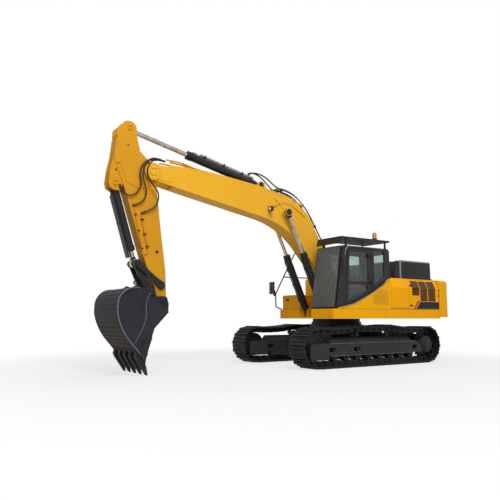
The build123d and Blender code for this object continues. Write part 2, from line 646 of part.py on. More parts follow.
ROOF_GUARD_Z = 3290
ROOF_GUARD_X = (-690, 1100)
BEACON = (-480, 1100)
with BuildPart() as roof_guard:
    with BuildSketch(level(ROOF_GUARD_Z)):
        with Locations(((ROOF_GUARD_X[0] + ROOF_GUARD_X[1]) / 2, SEAT_Y)):
            Rectangle(ROOF_GUARD_X[1] - ROOF_GUARD_X[0], 920)
            Rectangle(ROOF_GUARD_X[1] - ROOF_GUARD_X[0] - 90, 830, mode=Mode.SUBTRACT)
            with GridLocations(0, 105, 1, 8):
                Rectangle(ROOF_GUARD_X[1] - ROOF_GUARD_X[0] - 60, 40)
    extrude(amount=50)
    plate([(1060, 3290), (1060, 3340), (1100, 3340), (1160, 3150), (1140, 3150)],
          SEAT_Y - 460, SEAT_Y + 460)
    for x in (-560, 900):
        for y in (CAB_Y[0] + 30, CAB_Y[1] - 60):
            block((x, x + 40), (y, y + 40), (CAB_Z[1], ROOF_GUARD_Z))
    with BuildSketch(level(ROOF_GUARD_Z)):
        with Locations(BEACON):
            RegularPolygon(78, 12)
    extrude(amount=100)
save(roof_guard.part, "roof_guard")

BEACON_Z = (ROOF_GUARD_Z + 100, 3600)
with BuildPart() as beacon:
    with BuildSketch(level(BEACON_Z[0])):
        with Locations(BEACON):
            Circle(60)
    extrude(amount=BEACON_Z[1] - BEACON_Z[0])
    chamfer(beacon.edges().group_by(Axis.Z)[-1], 22)
save(beacon.part, "beacon")

# ---------------------------------------------------------------- boom
CROWD_GAP = 115           # inside of the crowd cylinder's lugs from the middle
CURL_GAP = 100
NOSE_R = 205
FOOT_R = 165
EYE_BOSS_R = 110
# steel tubes to the bucket cylinder, one along each edge of the boom's top, as (x, z) on its plate
TUBE_Y = 185
TUBE_R = 20
TUBE_RISE = 45
TUBE_RUN = ((1330, 4250), (1850, 4445), (2800, 4612), (3720, 4712), (4760, 4800), (5130, 4890), (5480, 4900))
CLAMPS = ((1860, 4430), (3000, 4620), (3720, 4700), (4560, 4772))

with BuildPart() as boom:
    with BuildSketch(side(BOOM_HW)):
        with BuildLine():
            belly = Line((260, 1880), (1320, 3050))
            knee_in = ThreePointArc(belly @ 1, (1900, 3545), (2740, 3860))
            under = Polyline(knee_in @ 1, (5020, 4265), (5760, 4410))
            nose = ThreePointArc(under @ 1, (6010, 4560), (5930, 4780))
            top = Polyline(nose @ 1, (5400, 4780), (4900, 4800), (3720, 4700), (2800, 4600), (1840, 4425))
            knee_out = ThreePointArc(top @ 1, (1370, 4215), (1000, 3780))
            back = Line(knee_out @ 1, (0, 2080))
            ThreePointArc(back @ 1, (90, 1850), belly @ 0)
        make_face()
    extrude(amount=2 * BOOM_HW)
    disc(NOSE, 620, -FORK_Y, FORK_Y, Mode.SUBTRACT)
    for low, high in ((BOOM_HW, LIFT_Y - BARREL_EYE - GAP), (-LIFT_Y + BARREL_EYE + GAP, -BOOM_HW)):
        disc(LIFT_EYE, EYE_BOSS_R, low, high)
        disc(FOOT, FOOT_R, low if low > 0 else -295, 295 if low > 0 else high)
    for low, high in ((FORK_Y, BOOM_HW + 25), (-BOOM_HW - 25, -FORK_Y)):
        disc(NOSE, NOSE_R, low, high)
    for turn in (1, -1):
        low, high = sorted((turn * CROWD_GAP, turn * (CROWD_GAP + 40)))
        plate([(2440, 4500), (2620, 4790), (2710, 4825), (2790, 4790), (2930, 4570)], low, high)
        low, high = sorted((turn * (BARREL_EYE + GAP), turn * CROWD_GAP))
        disc(CROWD_BASE, BOSS_R + 10, low, high)
    for y in (-TUBE_Y, TUBE_Y):
        pipe([(x, y, z + TUBE_RISE) for x, z in TUBE_RUN], TUBE_R, 90)
        for x, z in CLAMPS:
            block((x - 25, x + 25), (y - 32, y + 32), (z - 20, z + TUBE_RISE + TUBE_R))
save(boom.part, "boom")

LAMP_SPOT = (2490, 4080)
with BuildPart() as boom_lamp:
    plate([(LAMP_SPOT[0] - 20, LAMP_SPOT[1] - 60), (LAMP_SPOT[0] + 60, LAMP_SPOT[1] - 70),
           (LAMP_SPOT[0] + 75, LAMP_SPOT[1] + 55), (LAMP_SPOT[0] - 10, LAMP_SPOT[1] + 60)],
          BOOM_HW + 40, BOOM_HW + 160)
    plate([(LAMP_SPOT[0] - 30, LAMP_SPOT[1] - 20), (LAMP_SPOT[0] + 10, LAMP_SPOT[1] - 20),
           (LAMP_SPOT[0] + 10, LAMP_SPOT[1] + 20), (LAMP_SPOT[0] - 30, LAMP_SPOT[1] + 20)],
          BOOM_HW, BOOM_HW + 120)
save(boom_lamp.part, "boom_lamp")

# ---------------------------------------------------------------- arm
ARM_FRONT = ((6730, 4790), (6430, 4010), (6180, 3230), (5910, 2410), (5715, 2010), (5615, 1600))
ARM_REAR = ((5400, 1600), (5440, 2340), (5560, 3150), (5670, 4010), (5700, 4190), (5740, 4400))
with BuildPart() as arm:
    with BuildSketch(side(ARM_HW)):
        with BuildLine():
            front = Polyline((6730, 4980), *ARM_FRONT)
            tip = ThreePointArc(front @ 1, (5522, 1480), ARM_REAR[0])
            rear = Polyline(*ARM_REAR)
            Polyline(rear @ 1, (5900, 4790), (6130, 5060), (6250, 5210), (6370, 5390), (6480, 5440),
                     (6640, 5400), (6700, 5210), front @ 0)
        make_face()
    extrude(amount=2 * ARM_HW)
    disc(NOSE, NOSE_R - 15, -FORK_Y + GAP, FORK_Y - GAP)
    disc(TIP, 118, -235, 235)
    disc(ROCKER, 95, -ARM_HW - 10, ARM_HW + 10)
    # lugs for the crowd cylinder on the head and for the bucket cylinder in front of it
    for low, high in ((CURL_GAP, CURL_GAP + 45), (-CURL_GAP - 45, -CURL_GAP)):
        plate([(6560, 5300), (6700, 5300), (6745, 4880), (6815, 4560), (6850, 4240), (6815, 4130),
               (6720, 4075), (6600, 4075), (6540, 4160), (6500, 4300)], low, high)
        with BuildSketch(side(high)) as lug:
            with BuildLine():
                foot = Line((6700, 5330), (6130, 5100))
                heel = Line(foot @ 1, (6225, 5480))
                crown = ThreePointArc(heel @ 1, (6400, 5730), (6560, 5640))
                Polyline(crown @ 1, (6690, 5500), foot @ 0)
            make_face()
        extrude(lug.sketch, amount=high - low)
    # the cylinders' eyes turn in slots between the lugs
    disc(CROWD_EYE, 330, -CURL_GAP, CURL_GAP, Mode.SUBTRACT)
    disc(CURL_BASE, 300, -CURL_GAP, CURL_GAP, Mode.SUBTRACT)
    for low, high in ((BARREL_EYE + GAP, CURL_GAP), (-CURL_GAP, -BARREL_EYE - GAP)):
        disc(CURL_BASE, BOSS_R, low, high)
save(arm.part, "arm")

# ---------------------------------------------------------------- cylinders
# name, base pin, rod pin, y of each axis, barrel radius, rod radius, barrel length, rod length
CYLINDERS = (("lift", LIFT_BASE, LIFT_EYE, (LIFT_Y, -LIFT_Y), 92, 52, 1730, 1960),
             ("crowd", CROWD_BASE, CROWD_EYE, (0,), 100, 58, 2190, 2240),
             ("curl", CURL_BASE, KNUCKLE, (0,), 92, 52, 1560, 1480))
BORE_GAP = 1
CROWN_T = 15              # closed end behind the bore
GLAND_L = 90
NECK = 110                # from the base pin to the barrel's closed end

for name, base, eye, centres, barrel_r, rod_r, barrel_len, rod_len in CYLINDERS:
    reach = hypot(eye[0] - base[0], eye[1] - base[1])
    with BuildPart() as barrel:
        for y in centres:
            disc(base, BOSS_R + 8, y - BARREL_EYE, y + BARREL_EYE)
            with BuildSketch(axis_plane(base, eye, y)):
                Rectangle(2 * BARREL_EYE, 120)
            extrude(amount=NECK + 10)
            with BuildSketch(axis_plane(base, eye, y).offset(NECK)):
                Circle(barrel_r)
            extrude(amount=barrel_len - NECK)
            with BuildSketch(axis_plane(base, eye, y).offset(barrel_len - GLAND_L)):
                Circle(barrel_r + 8)
            extrude(amount=GLAND_L)
            with BuildSketch(axis_plane(base, eye, y).offset(NECK + CROWN_T)):
                Circle(rod_r + BORE_GAP)
            extrude(amount=barrel_len, mode=Mode.SUBTRACT)
    save(barrel.part, f"{name}_barrels" if len(centres) > 1 else f"{name}_barrel")
    with BuildPart() as rod:
        for y in centres:
            disc(eye, rod_r + 45, y - BARREL_EYE, y + BARREL_EYE)
            with BuildSketch(axis_plane(base, eye, y).offset(reach - rod_len)):
                Circle(rod_r)
            extrude(amount=rod_len - rod_r)
    save(rod.part, f"{name}_rods" if len(centres) > 1 else f"{name}_rod")

# ---------------------------------------------------------------- bucket linkage
ROCKER_Y = (ARM_HW + 15, ARM_HW + 50)
LINK_PLATE_Y = (105, 165)
LINK_HUB_Y = 236
ROCKER_ENDS = (95, 88)    # radii at the arm and at the knuckle
LINK_ENDS = (85, 85)
EYE_DROP = 145            # lifting eye from the link's axis, on its front
EYE_REACH = 330           # and along it from the bucket


def bar(start, end, radii, y_low, y_high):
    """A flat link with round ends between two pins."""
    reach = hypot(end[0] - start[0], end[1] - start[1])
    ux, uz = (end[0] - start[0]) / reach, (end[1] - start[1]) / reach
    disc(start, radii[0], y_low, y_high)
    disc(end, radii[1], y_low, y_high)
    plate([(start[0] - uz * (radii[0] - 2), start[1] + ux * (radii[0] - 2)),
           (end[0] - uz * (radii[1] - 2), end[1] + ux * (radii[1] - 2)),
           (end[0] + uz * (radii[1] - 2), end[1] - ux * (radii[1] - 2)),
           (start[0] + uz * (radii[0] - 2), start[1] - ux * (radii[0] - 2))], y_low, y_high)


with BuildPart() as rockers:
    for low, high in (ROCKER_Y, (-ROCKER_Y[1], -ROCKER_Y[0])):
        bar(ROCKER, KNUCKLE, ROCKER_ENDS, low, high)
save(rockers.part, "rockers")

LINK_L = hypot(KNUCKLE[0] - EAR[0], KNUCKLE[1] - EAR[1])
LINK_UX = (KNUCKLE[0] - EAR[0]) / LINK_L
LINK_UZ = (KNUCKLE[1] - EAR[1]) / LINK_L


def on_link(reach, forward):
    """The (x, z) of a point along the link from the bucket's pin and forward of its axis."""
    return (EAR[0] + LINK_UX * reach + LINK_UZ * forward, EAR[1] + LINK_UZ * reach - LINK_UX * forward)


with BuildPart() as bucket_link:
    for low, high in (LINK_PLATE_Y, (-LINK_PLATE_Y[1], -LINK_PLATE_Y[0])):
        bar(EAR, KNUCKLE, LINK_ENDS, low, high)
    disc(EAR, LINK_ENDS[0], -LINK_HUB_Y, LINK_HUB_Y)
    plate([on_link(50, 70), on_link(EYE_REACH + 70, 70), on_link(EYE_REACH + 70, 30), on_link(50, 30)],
          -LINK_PLATE_Y[0] - 5, LINK_PLATE_Y[0] + 5)
save(bucket_link.part, "bucket_link")

EYE_T = 40
with BuildPart() as lifting_eye:
    plate([on_link(EYE_REACH - 70, 70), on_link(EYE_REACH - 50, EYE_DROP), on_link(EYE_REACH + 50, EYE_DROP),
           on_link(EYE_REACH + 70, 70)], -EYE_T / 2, EYE_T / 2)
    disc(on_link(EYE_REACH, EYE_DROP), 50, -EYE_T / 2, EYE_T / 2)
    disc(on_link(EYE_REACH, EYE_DROP), 25, -EYE_T / 2, EYE_T / 2, Mode.SUBTRACT)
save(lifting_eye.part, "lifting_eye")

# ---------------------------------------------------------------- bucket
MOUTH = ((6160, 370), (5990, 820), (5930, 1010), (5800, 1150), (5600, 1360), (5620, 1410))
BUCKET_T = 28
BUCKET_EAR_Y = (245, 295)
CUTTER_T = 30             # side cutters stand out from the bucket's sides
TEETH_ACROSS = 5
TOOTH_PITCH = 310
TOOTH_Y = [(i - (TEETH_ACROSS - 1) / 2) * TOOTH_PITCH for i in range(TEETH_ACROSS)]
TOOTH_HW = 48
ADAPTER_HW = 62
with BuildPart() as bucket:
    with BuildSketch(side(BUCKET_HW)):
        with BuildLine():
            lid = Line(MOUTH[-1], (6310, 1880))
            crest = ThreePointArc(lid @ 1, (6610, 1820), (6775, 1540))
            wall = Line(crest @ 1, (6775, 1340))
            heel = ThreePointArc(wall @ 1, (6655, 1000), (6445, 705))
            floor = Line(heel @ 1, MOUTH[0])
            Polyline(*MOUTH)
        make_face()
    extrude(amount=2 * BUCKET_HW)
    with BuildSketch(side(BUCKET_HW - BUCKET_T)):
        with BuildLine():
            lid = Line(MOUTH[-1], (6310, 1880))
            crest = ThreePointArc(lid @ 1, (6610, 1820), (6775, 1540))
            wall = Line(crest @ 1, (6775, 1340))
            heel = ThreePointArc(wall @ 1, (6655, 1000), (6445, 705))
            floor = Line(heel @ 1, MOUTH[0])
            Polyline(*MOUTH)
        make_face()
        offset(amount=-BUCKET_T)
        with BuildLine():
            Polyline((6200, 452), (6040, 283), (5300, 900), (5300, 1150), (5500, 1284), (5700, 1420),
                     close=True)
        make_face()
    extrude(amount=2 * (BUCKET_HW - BUCKET_T), mode=Mode.SUBTRACT)
    plate([(6330, 549), (6150, 345), (6110, 380), (6295, 583)], -BUCKET_HW, BUCKET_HW)
    for low, high in (BUCKET_EAR_Y, (-BUCKET_EAR_Y[1], -BUCKET_EAR_Y[0])):
        plate([(5400, 1560), (5410, 1360), (5620, 1370), (6340, 1870), (6200, 1960), (5960, 1890),
               (5860, 1925), (5770, 1880), (5700, 1720), (5560, 1730), (5450, 1710)], low, high)
    for low, high in ((BUCKET_HW, BUCKET_HW + CUTTER_T), (-BUCKET_HW - CUTTER_T, -BUCKET_HW)):
        plate([(6130, 345), (6250, 460), (6150, 800), (6075, 850), (5985, 825), (6063, 600)], low, high)
    # adapters welded under the lip, one for each tooth
    for y in TOOTH_Y:
        plate([(6310, 545), (6335, 430), (6285, 330), (6180, 235), (6105, 265), (6100, 360), (6160, 380)],
              y - ADAPTER_HW, y + ADAPTER_HW)
save(bucket.part, "bucket")

with BuildPart() as bucket_teeth:
    for y in TOOTH_Y:
        plate([(6285, 330), (6115, 85), (6070, 20), (6045, 20), (6075, 180), (6105, 265), (6180, 235)],
              y - TOOTH_HW, y + TOOTH_HW)
save(bucket_teeth.part, "bucket_teeth")
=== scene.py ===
"""Crawler excavator: the finish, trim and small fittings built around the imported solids.

Metres throughout. +X points to the bucket, +Y to the cab side, +Z up; the ground is z = 0.
Outlines of the upper structure and working gear are drawn from the slewing axis, which stands
at x = SLEW.
"""
import cmath
import math

import bmesh
import bpy
from mathutils import Matrix, Vector


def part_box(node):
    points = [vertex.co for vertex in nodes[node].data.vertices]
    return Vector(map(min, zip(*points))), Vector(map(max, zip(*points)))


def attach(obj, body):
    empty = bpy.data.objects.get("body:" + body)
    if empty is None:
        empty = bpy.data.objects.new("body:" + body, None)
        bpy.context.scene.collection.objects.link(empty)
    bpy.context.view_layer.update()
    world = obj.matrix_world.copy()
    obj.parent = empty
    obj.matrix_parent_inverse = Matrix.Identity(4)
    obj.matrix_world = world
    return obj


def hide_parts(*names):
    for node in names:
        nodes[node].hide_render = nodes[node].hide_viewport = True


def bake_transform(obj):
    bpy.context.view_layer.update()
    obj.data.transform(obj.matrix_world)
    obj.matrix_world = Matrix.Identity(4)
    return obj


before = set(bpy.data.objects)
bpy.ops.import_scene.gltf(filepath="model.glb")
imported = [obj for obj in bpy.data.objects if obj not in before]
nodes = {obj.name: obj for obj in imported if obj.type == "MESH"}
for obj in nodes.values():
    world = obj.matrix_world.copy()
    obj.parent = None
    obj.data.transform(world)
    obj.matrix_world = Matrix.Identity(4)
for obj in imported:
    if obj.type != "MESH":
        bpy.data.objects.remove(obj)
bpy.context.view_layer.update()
SLEW = -1.720

# ---------------------------------------------------------------- carbody and track frames
# Welded box sections of thick steel plate, shot-blasted and sprayed charcoal with a satin
# finish. They ride low, so dust settles on the upper faces and grit wears the plate edges.
CHARCOAL = (0.022, 0.025, 0.028)
BARE_STEEL = (0.24, 0.22, 0.20)
ROAD_DUST = (0.19, 0.165, 0.135)


def new_group(name, inputs, outputs):
    """An empty shader group: its tree, the sockets it is given and its output node."""
    group = bpy.data.node_groups.new(name, "ShaderNodeTree")
    for label, value in inputs.items():
        socket = group.interface.new_socket(label, in_out="INPUT", socket_type="NodeSocketFloat")
        socket.default_value = value
    for label, kind in outputs.items():
        group.interface.new_socket(label, in_out="OUTPUT", socket_type="NodeSocket" + kind)
    return group, group.nodes.new("NodeGroupInput").outputs, group.nodes.new("NodeGroupOutput")


def feed(tree, node, inputs):
    """Gives each input of a node its value, or the socket that feeds it."""
    for key, value in inputs.items():
        socket = node.inputs[key]
        if isinstance(value, bpy.types.NodeSocket):
            tree.links.new(value, socket)
        else:
            socket.default_value = (*value, 1) if socket.type == "RGBA" else value
    return node


def step(tree, kind, inputs=None, **settings):
    """Adds a shader node with its settings and inputs."""
    node = tree.nodes.new("ShaderNode" + kind)
    for key, value in settings.items():
        setattr(node, key, value)
    return feed(tree, node, inputs or {})


def mixed(tree, share, low, high):
    """Colour between low and high by share."""
    return step(tree, "Mix", {0: share, 6: low, 7: high}, data_type="RGBA").outputs[2]


def maths(tree, operation, first, second=0.0, clamp=False):
    return step(tree, "Math", {0: first, 1: second}, operation=operation, use_clamp=clamp).outputs[0]


def spread(tree, value, amount, least):
    """The value scaled by amount, on top of least."""
    return maths(tree, "ADD", maths(tree, "MULTIPLY", value, amount), least)


def ramp(tree, value, low, high):
    """0 below low, 1 above high."""
    return step(tree, "MapRange", {"Value": value, "From Min": low, "From Max": high}).outputs["Result"]


def texture(tree, kind, out="Fac", bands=None, **values):
    """A procedural texture laid in the object's own space."""
    if "Vector" not in values:
        values["Vector"] = step(tree, "TexCoord").outputs["Object"]
    settings = {"bands_direction": bands} if bands else {}
    return step(tree, kind, values, **settings).outputs[out]


def facing(tree, direction):
    """How far the surface faces along one axis."""
    return step(tree, "SeparateXYZ", {0: step(tree, "NewGeometry").outputs["Normal"]}).outputs[direction]


def bump(tree, height, strength, distance, normal=None):
    """Relief of the surface, as a normal."""
    inputs = {"Height": height, "Strength": strength, "Distance": distance}
    if normal:
        inputs["Normal"] = normal
    return step(tree, "Bump", inputs).outputs[0]


# rounded highlights on plate edges, and a mask of where those edges rub bare
plate_edges, given, result = new_group("plate_edges", {"Radius": 0.008, "Breakup": 9.0},
                                       {"Normal": "Vector", "Rubbed": "Float"})
soft = step(plate_edges, "Bevel", {"Radius": given["Radius"]}, samples=4).outputs[0]
flat = step(plate_edges, "NewGeometry").outputs["Normal"]
turned = step(plate_edges, "VectorMath", {0: soft, 1: flat}, operation="DOT_PRODUCT").outputs["Value"]
near_edge = ramp(plate_edges, maths(plate_edges, "SUBTRACT", 1.0, turned), 0.03, 0.16)
patches = texture(plate_edges, "TexNoise", Scale=given["Breakup"], Detail=5.0, Roughness=0.62)
rubbed_off = maths(plate_edges, "MULTIPLY", near_edge, ramp(plate_edges, patches, 0.46, 0.62))
feed(plate_edges, result, {"Normal": soft, "Rubbed": rubbed_off})

# slow change of tone over a sprayed panel, and the fine skin of the paint
paint_tone, given, result = new_group("paint_tone", {"Scale": 1.0, "Grain": 260.0},
                                      {"Tone": "Float", "Skin": "Float"})
broad = texture(paint_tone, "TexNoise", Scale=given["Scale"], Detail=6.0, Roughness=0.6)
fine = texture(paint_tone, "TexNoise", Scale=given["Grain"], Detail=2.0)
feed(paint_tone, result, {"Tone": ramp(paint_tone, broad, 0.32, 0.70), "Skin": fine})

# dust that lies on ledges and thins out with height
settled_dust, given, result = new_group("settled_dust", {"Ceiling": 1.2, "Amount": 0.5}, {"Dust": "Float"})
place = step(settled_dust, "TexCoord").outputs["Object"]
height = step(settled_dust, "SeparateXYZ", {0: place}).outputs["Z"]
clumps = texture(settled_dust, "TexNoise", Vector=place, Scale=5.5, Detail=9.0, Roughness=0.72)
low_down = maths(settled_dust, "SUBTRACT", 1.0, maths(settled_dust, "DIVIDE", height, given["Ceiling"]), True)
ledge = ramp(settled_dust, facing(settled_dust, "Z"), 0.2, 1.0)
cover = maths(settled_dust, "ADD", maths(settled_dust, "MULTIPLY", low_down, 0.55),
              maths(settled_dust, "MULTIPLY", ledge, 0.45))
dust = maths(settled_dust, "MULTIPLY", cover, ramp(settled_dust, clumps, 0.40, 0.72))
feed(settled_dust, result, {"Dust": maths(settled_dust, "MULTIPLY", dust, given["Amount"], True)})


def grouped(tree, group, **values):
    """Places a shader group with its own values, named in plain words."""
    node = tree.nodes.new("ShaderNodeGroup")
    node.node_tree = group
    return feed(tree, node, values).outputs


def blank_material(name):
    """A new material, its tree and its surface shader."""
    material = bpy.data.materials.new(name)
    material.use_nodes = True
    return material, material.node_tree, material.node_tree.nodes["Principled BSDF"]


def painted_steel(name, colour, shade, roughness=0.42, coat=0.0, edge=0.006, rubbed=0.10, dust=0.05,
                  ceiling=3.2, scale=0.9, shine=0.35):
    """Sprayed steel plate: colour drifting to shade, rubbed edges, settled dust, fine skin."""
    material, tree, surface = blank_material(name)
    edges = grouped(tree, plate_edges, Radius=edge)
    tone = grouped(tree, paint_tone, Scale=scale)
    film = grouped(tree, settled_dust, Ceiling=ceiling, Amount=dust)
    bare = maths(tree, "MULTIPLY", edges["Rubbed"], rubbed)
    worn = mixed(tree, bare, mixed(tree, tone["Tone"], colour, shade), BARE_STEEL)
    dulled = maths(tree, "ADD", spread(tree, tone["Tone"], 0.10, roughness),
                   maths(tree, "MULTIPLY", film["Dust"], 0.5), True)
    feed(tree, surface, {"Base Color": mixed(tree, film["Dust"], worn, ROAD_DUST), "Roughness": dulled,
                         "Normal": bump(tree, tone["Skin"], 0.04, 0.002, edges["Normal"]),
                         "Specular IOR Level": shine, "Coat Weight": coat, "Coat Roughness": 0.12})
    return material


def finish(material, *names):
    """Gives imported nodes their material."""
    for name in names:
        mesh = nodes[name].data
        mesh.materials.clear()
        mesh.materials.append(material)


undercarriage_paint = painted_steel("undercarriage_paint", CHARCOAL, (0.030, 0.032, 0.034), rubbed=0.35,
                                    dust=0.14, ceiling=1.3, shine=0.12)
finish(undercarriage_paint, "carbody", "left_track_frame", "right_track_frame", "swing_bearing", "tow_eyes",
       "final_drives")

# ---------------------------------------------------------------- tracks
# Each chain is 48 forged links with pressed pins, and a rolled triple-grouser shoe bolted to
# every pair of links. The steel is oiled black when new and polishes where it meets the ground.
SHOES = 48
SHOE_W = 0.600
AXLE_X = 2.025
TRACK_R = 0.472
GROUSER = 0.036
AXLE_Z = TRACK_R + GROUSER
SHOE_T = 0.014
CHAIN_H = 0.125
CARRIER_X = (0.600, -0.500)
CARRIER_TOP = 1.030
TRACK_Y = 1.295
LINK_Y = ((0.050, 0.105), (-0.105, -0.050))
PIN_R = 0.022
PIN_HALF = 0.118
SIDES = (("left", 1), ("right", -1))


def sagging(start, end, sag, count=12):
    """Points on the arc from start to end that hangs below their chord."""
    chord = end - start
    down = Vector((-chord.y, chord.x)).normalized()
    down *= -math.copysign(1, down.y)
    return [start + chord * t / count + down * sag * (1 - (2 * t / count - 1) ** 2) for t in range(1, count + 1)]


def half_turn(end, count=32):
    """Points round the idler's end of the loop (end 1, going up) or the sprocket's (-1, down)."""
    turns = [math.pi * i / count for i in range(1, count + 1)]
    return [Vector((end * (AXLE_X + TRACK_R * math.sin(turn)), AXLE_Z - end * TRACK_R * math.cos(turn)))
            for turn in turns]


def loop_joints():
    """The chain's joints, one pitch apart, walked round the outside of the shoe plates."""
    route = [Vector((-AXLE_X, GROUSER)), Vector((AXLE_X, GROUSER))] + half_turn(1)
    for x, z, sag in ((CARRIER_X[0], CARRIER_TOP, 0.045), (CARRIER_X[1], CARRIER_TOP, 0.025),
                      (-AXLE_X, AXLE_Z + TRACK_R, 0.045)):
        route += sagging(route[-1], Vector((x, z)), sag)
    route += half_turn(-1)
    lengths = [(b - a).length for a, b in zip(route, route[1:])]
    pitch = sum(lengths) / SHOES
    joints, left, walked = [], 0.0, 0.0
    for a, b, length in zip(route, route[1:], lengths):
        while left <= walked + length and len(joints) < SHOES:
            joints.append(a + (b - a) * (left - walked) / length)
            left += pitch
        walked += length
    return joints


def prism(bm, points, low, high, place=None):
    """A closed bar with an outline of (x, z) points from y = low to y = high."""
    front = [bm.verts.new((x, low, z)) for x, z in points]
    back = [bm.verts.new((x, high, z)) for x, z in points]
    bm.faces.new(front)
    bm.faces.new(back[::-1])
    for i in range(len(points)):
        j = (i + 1) % len(points)
        bm.faces.new((front[i], back[i], back[j], front[j]))
    if place:
        bmesh.ops.transform(bm, matrix=place, verts=front + back)


def round_bar(bm, start, end, radius, sides=16, end_radius=None):
    """A closed round bar between two points, tapered when end_radius is given."""
    start, end = Vector(start), Vector(end)
    span = end - start
    place = Matrix.Translation((start + end) / 2) @ span.to_track_quat("Z", "Y").to_matrix().to_4x4()
    bmesh.ops.create_cone(bm, cap_ends=True, segments=sides, radius1=radius, depth=span.length, matrix=place,
                          radius2=radius if end_radius is None else end_radius)


def bolt(bm, spot, outward, radius=0.014, height=0.010):
    """A hexagon head on its washer."""
    spot, outward = Vector(spot), Vector(outward).normalized()
    round_bar(bm, spot - outward * 0.002, spot + outward * 0.003, radius * 1.45, 12)
    round_bar(bm, spot, spot + outward * height, radius, 6)


def placed(name, mesh, material, body):
    """Makes the mesh a piece that rides on a body, when one is given."""
    mesh.name = name
    mesh.materials.clear()
    mesh.materials.append(material)
    mesh.polygons.foreach_set("use_smooth", [True] * len(mesh.polygons))
    piece = bpy.data.objects.new(name, mesh)
    bpy.context.scene.collection.objects.link(piece)
    if body:
        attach(piece, body)
    return piece


def fitted(name, bm, material, body, smooth=0.5):
    """Turns the mesh in hand into a piece; edges flatter than smooth are rounded."""
    bmesh.ops.recalc_face_normals(bm, faces=bm.faces)
    mesh = bpy.data.meshes.new(name)
    bm.to_mesh(mesh)
    bm.free()
    piece = placed(name, mesh, material, body)
    mesh.set_sharp_from_angle(angle=smooth)
    return piece


def shoe_outline(pitch):
    """Rolled section of one shoe along the chain: lips at both ends and three grousers."""
    points = [(-0.012, -0.010), (-0.012, 0.004)]
    for share in (0.045, 0.46, 0.87):
        foot = share * pitch
        points += [(foot, 0.0), (foot + 0.007, GROUSER), (foot + 0.017, GROUSER), (foot + 0.024, 0.0)]
    points += [(pitch - 0.010, 0.002), (pitch - 0.004, -0.006), (pitch - 0.004, -SHOE_T - 0.004)]
    return points + [(pitch * 0.9, -SHOE_T), (pitch * 0.06, -SHOE_T), (0.0, -SHOE_T - 0.004)]


def link_outline(pitch):
    """Forged link: a boss round each pin, waisted between them."""
    top, bottom = -SHOE_T, -SHOE_T - CHAIN_H
    return [(-0.020, top), (pitch - 0.052, top), (pitch - 0.030, top - 0.030), (pitch + 0.012, top - 0.030),
            (pitch + 0.034, top - 0.058), (pitch + 0.030, bottom + 0.030), (pitch + 0.006, bottom + 0.010),
            (pitch * 0.72, bottom), (pitch * 0.30, bottom), (-0.010, bottom + 0.016),
            (-0.030, bottom + 0.036), (-0.034, top - 0.040)]


track_steel, tree, surface = blank_material("track_steel")
edges = grouped(tree, plate_edges, Radius=0.005, Breakup=14.0)
tone = grouped(tree, paint_tone, Scale=3.2, Grain=90.0)
film = grouped(tree, settled_dust, Ceiling=1.4, Amount=0.22)
base = mixed(tree, tone["Tone"], (0.012, 0.011, 0.011), (0.026, 0.021, 0.017))
worn = mixed(tree, maths(tree, "MULTIPLY", edges["Rubbed"], 0.65), base, (0.20, 0.19, 0.18))
feed(tree, surface, {"Base Color": mixed(tree, film["Dust"], worn, ROAD_DUST), "Metallic": 0.35,
                     "Specular IOR Level": 0.20, "Roughness": spread(tree, tone["Skin"], 0.25, 0.36),
                     "Normal": bump(tree, tone["Skin"], 0.25, 0.003, edges["Normal"])})
finish(track_steel, "left_track", "right_track", "track_rollers", "idlers", "sprockets")

joints = loop_joints()
for side_name, turn in SIDES:
    shoes, chain = bmesh.new(), bmesh.new()
    for start, end in zip(joints, joints[1:] + joints[:1]):
        run = end - start
        pitch = run.length
        run.normalize()
        place = Matrix(((run.x, 0, run.y, SLEW + start.x), (0, 1, 0, turn * TRACK_Y),
                        (run.y, 0, -run.x, start.y), (0, 0, 0, 1)))
        prism(shoes, shoe_outline(pitch), -SHOE_W / 2, SHOE_W / 2, place)
        for y in (-0.125, -0.030, 0.030, 0.125):
            for share in (0.27, 0.66):
                bolt(shoes, place @ Vector((pitch * share, y, 0)), place.col[2].xyz, 0.013, 0.011)
        for low, high in LINK_Y:
            prism(chain, link_outline(pitch), low, high, place)
        pin = [place @ Vector((0, y, -SHOE_T - 0.070)) for y in (-PIN_HALF, PIN_HALF)]
        round_bar(chain, *pin, PIN_R, 10)
    track_shoes = fitted(f"{side_name}_track_shoes", shoes, track_steel, "undercarriage")
    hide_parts(f"{side_name}_track")
    fitted(f"{side_name}_track_chain", chain, track_steel, "undercarriage")

# ---------------------------------------------------------------- track frame fittings
# Bolted covers over the idler springs, lifting lugs along the side plates, a ring of bolts round
# each final drive, and plates on the inside that guard the rollers and the travel motor's hoses.
FRAME_FACE = 0.219
LUG_X = (1.350, 0.930, 0.420, -0.700, -1.150)
LUG = ((-0.030, -0.020), (0.030, -0.020), (0.018, 0.022), (-0.018, 0.022))


def at(x, y, z):
    """A place given from the slewing axis."""
    return Vector((SLEW + x, y, z))


def outlined(bm, points, low, high):
    """A plate with an outline of (x, z) points from the slewing axis."""
    prism(bm, points, low, high, Matrix.Translation((SLEW, 0, 0)))


def side_plate(bm, turn, points, inner, outer):
    """A plate on the left (turn 1) or right (-1), between two distances from the middle."""
    outlined(bm, points, *sorted((turn * inner, turn * outer)))


def oblong(x_first, x_last, foot, top):
    """A rectangular outline."""
    return [(x_first, foot), (x_last, foot), (x_last, top), (x_first, top)]


def cross_bar(bm, x, z, start, end, radius, sides=16, end_radius=None):
    """A round bar across the machine between two values of y."""
    round_bar(bm, at(x, start, z), at(x, end, z), radius, sides, end_radius)


def ring(count, radius):
    """Steps evenly round a circle."""
    turns = [math.tau * i / count for i in range(count)]
    return [(radius * math.cos(turn), radius * math.sin(turn)) for turn in turns]


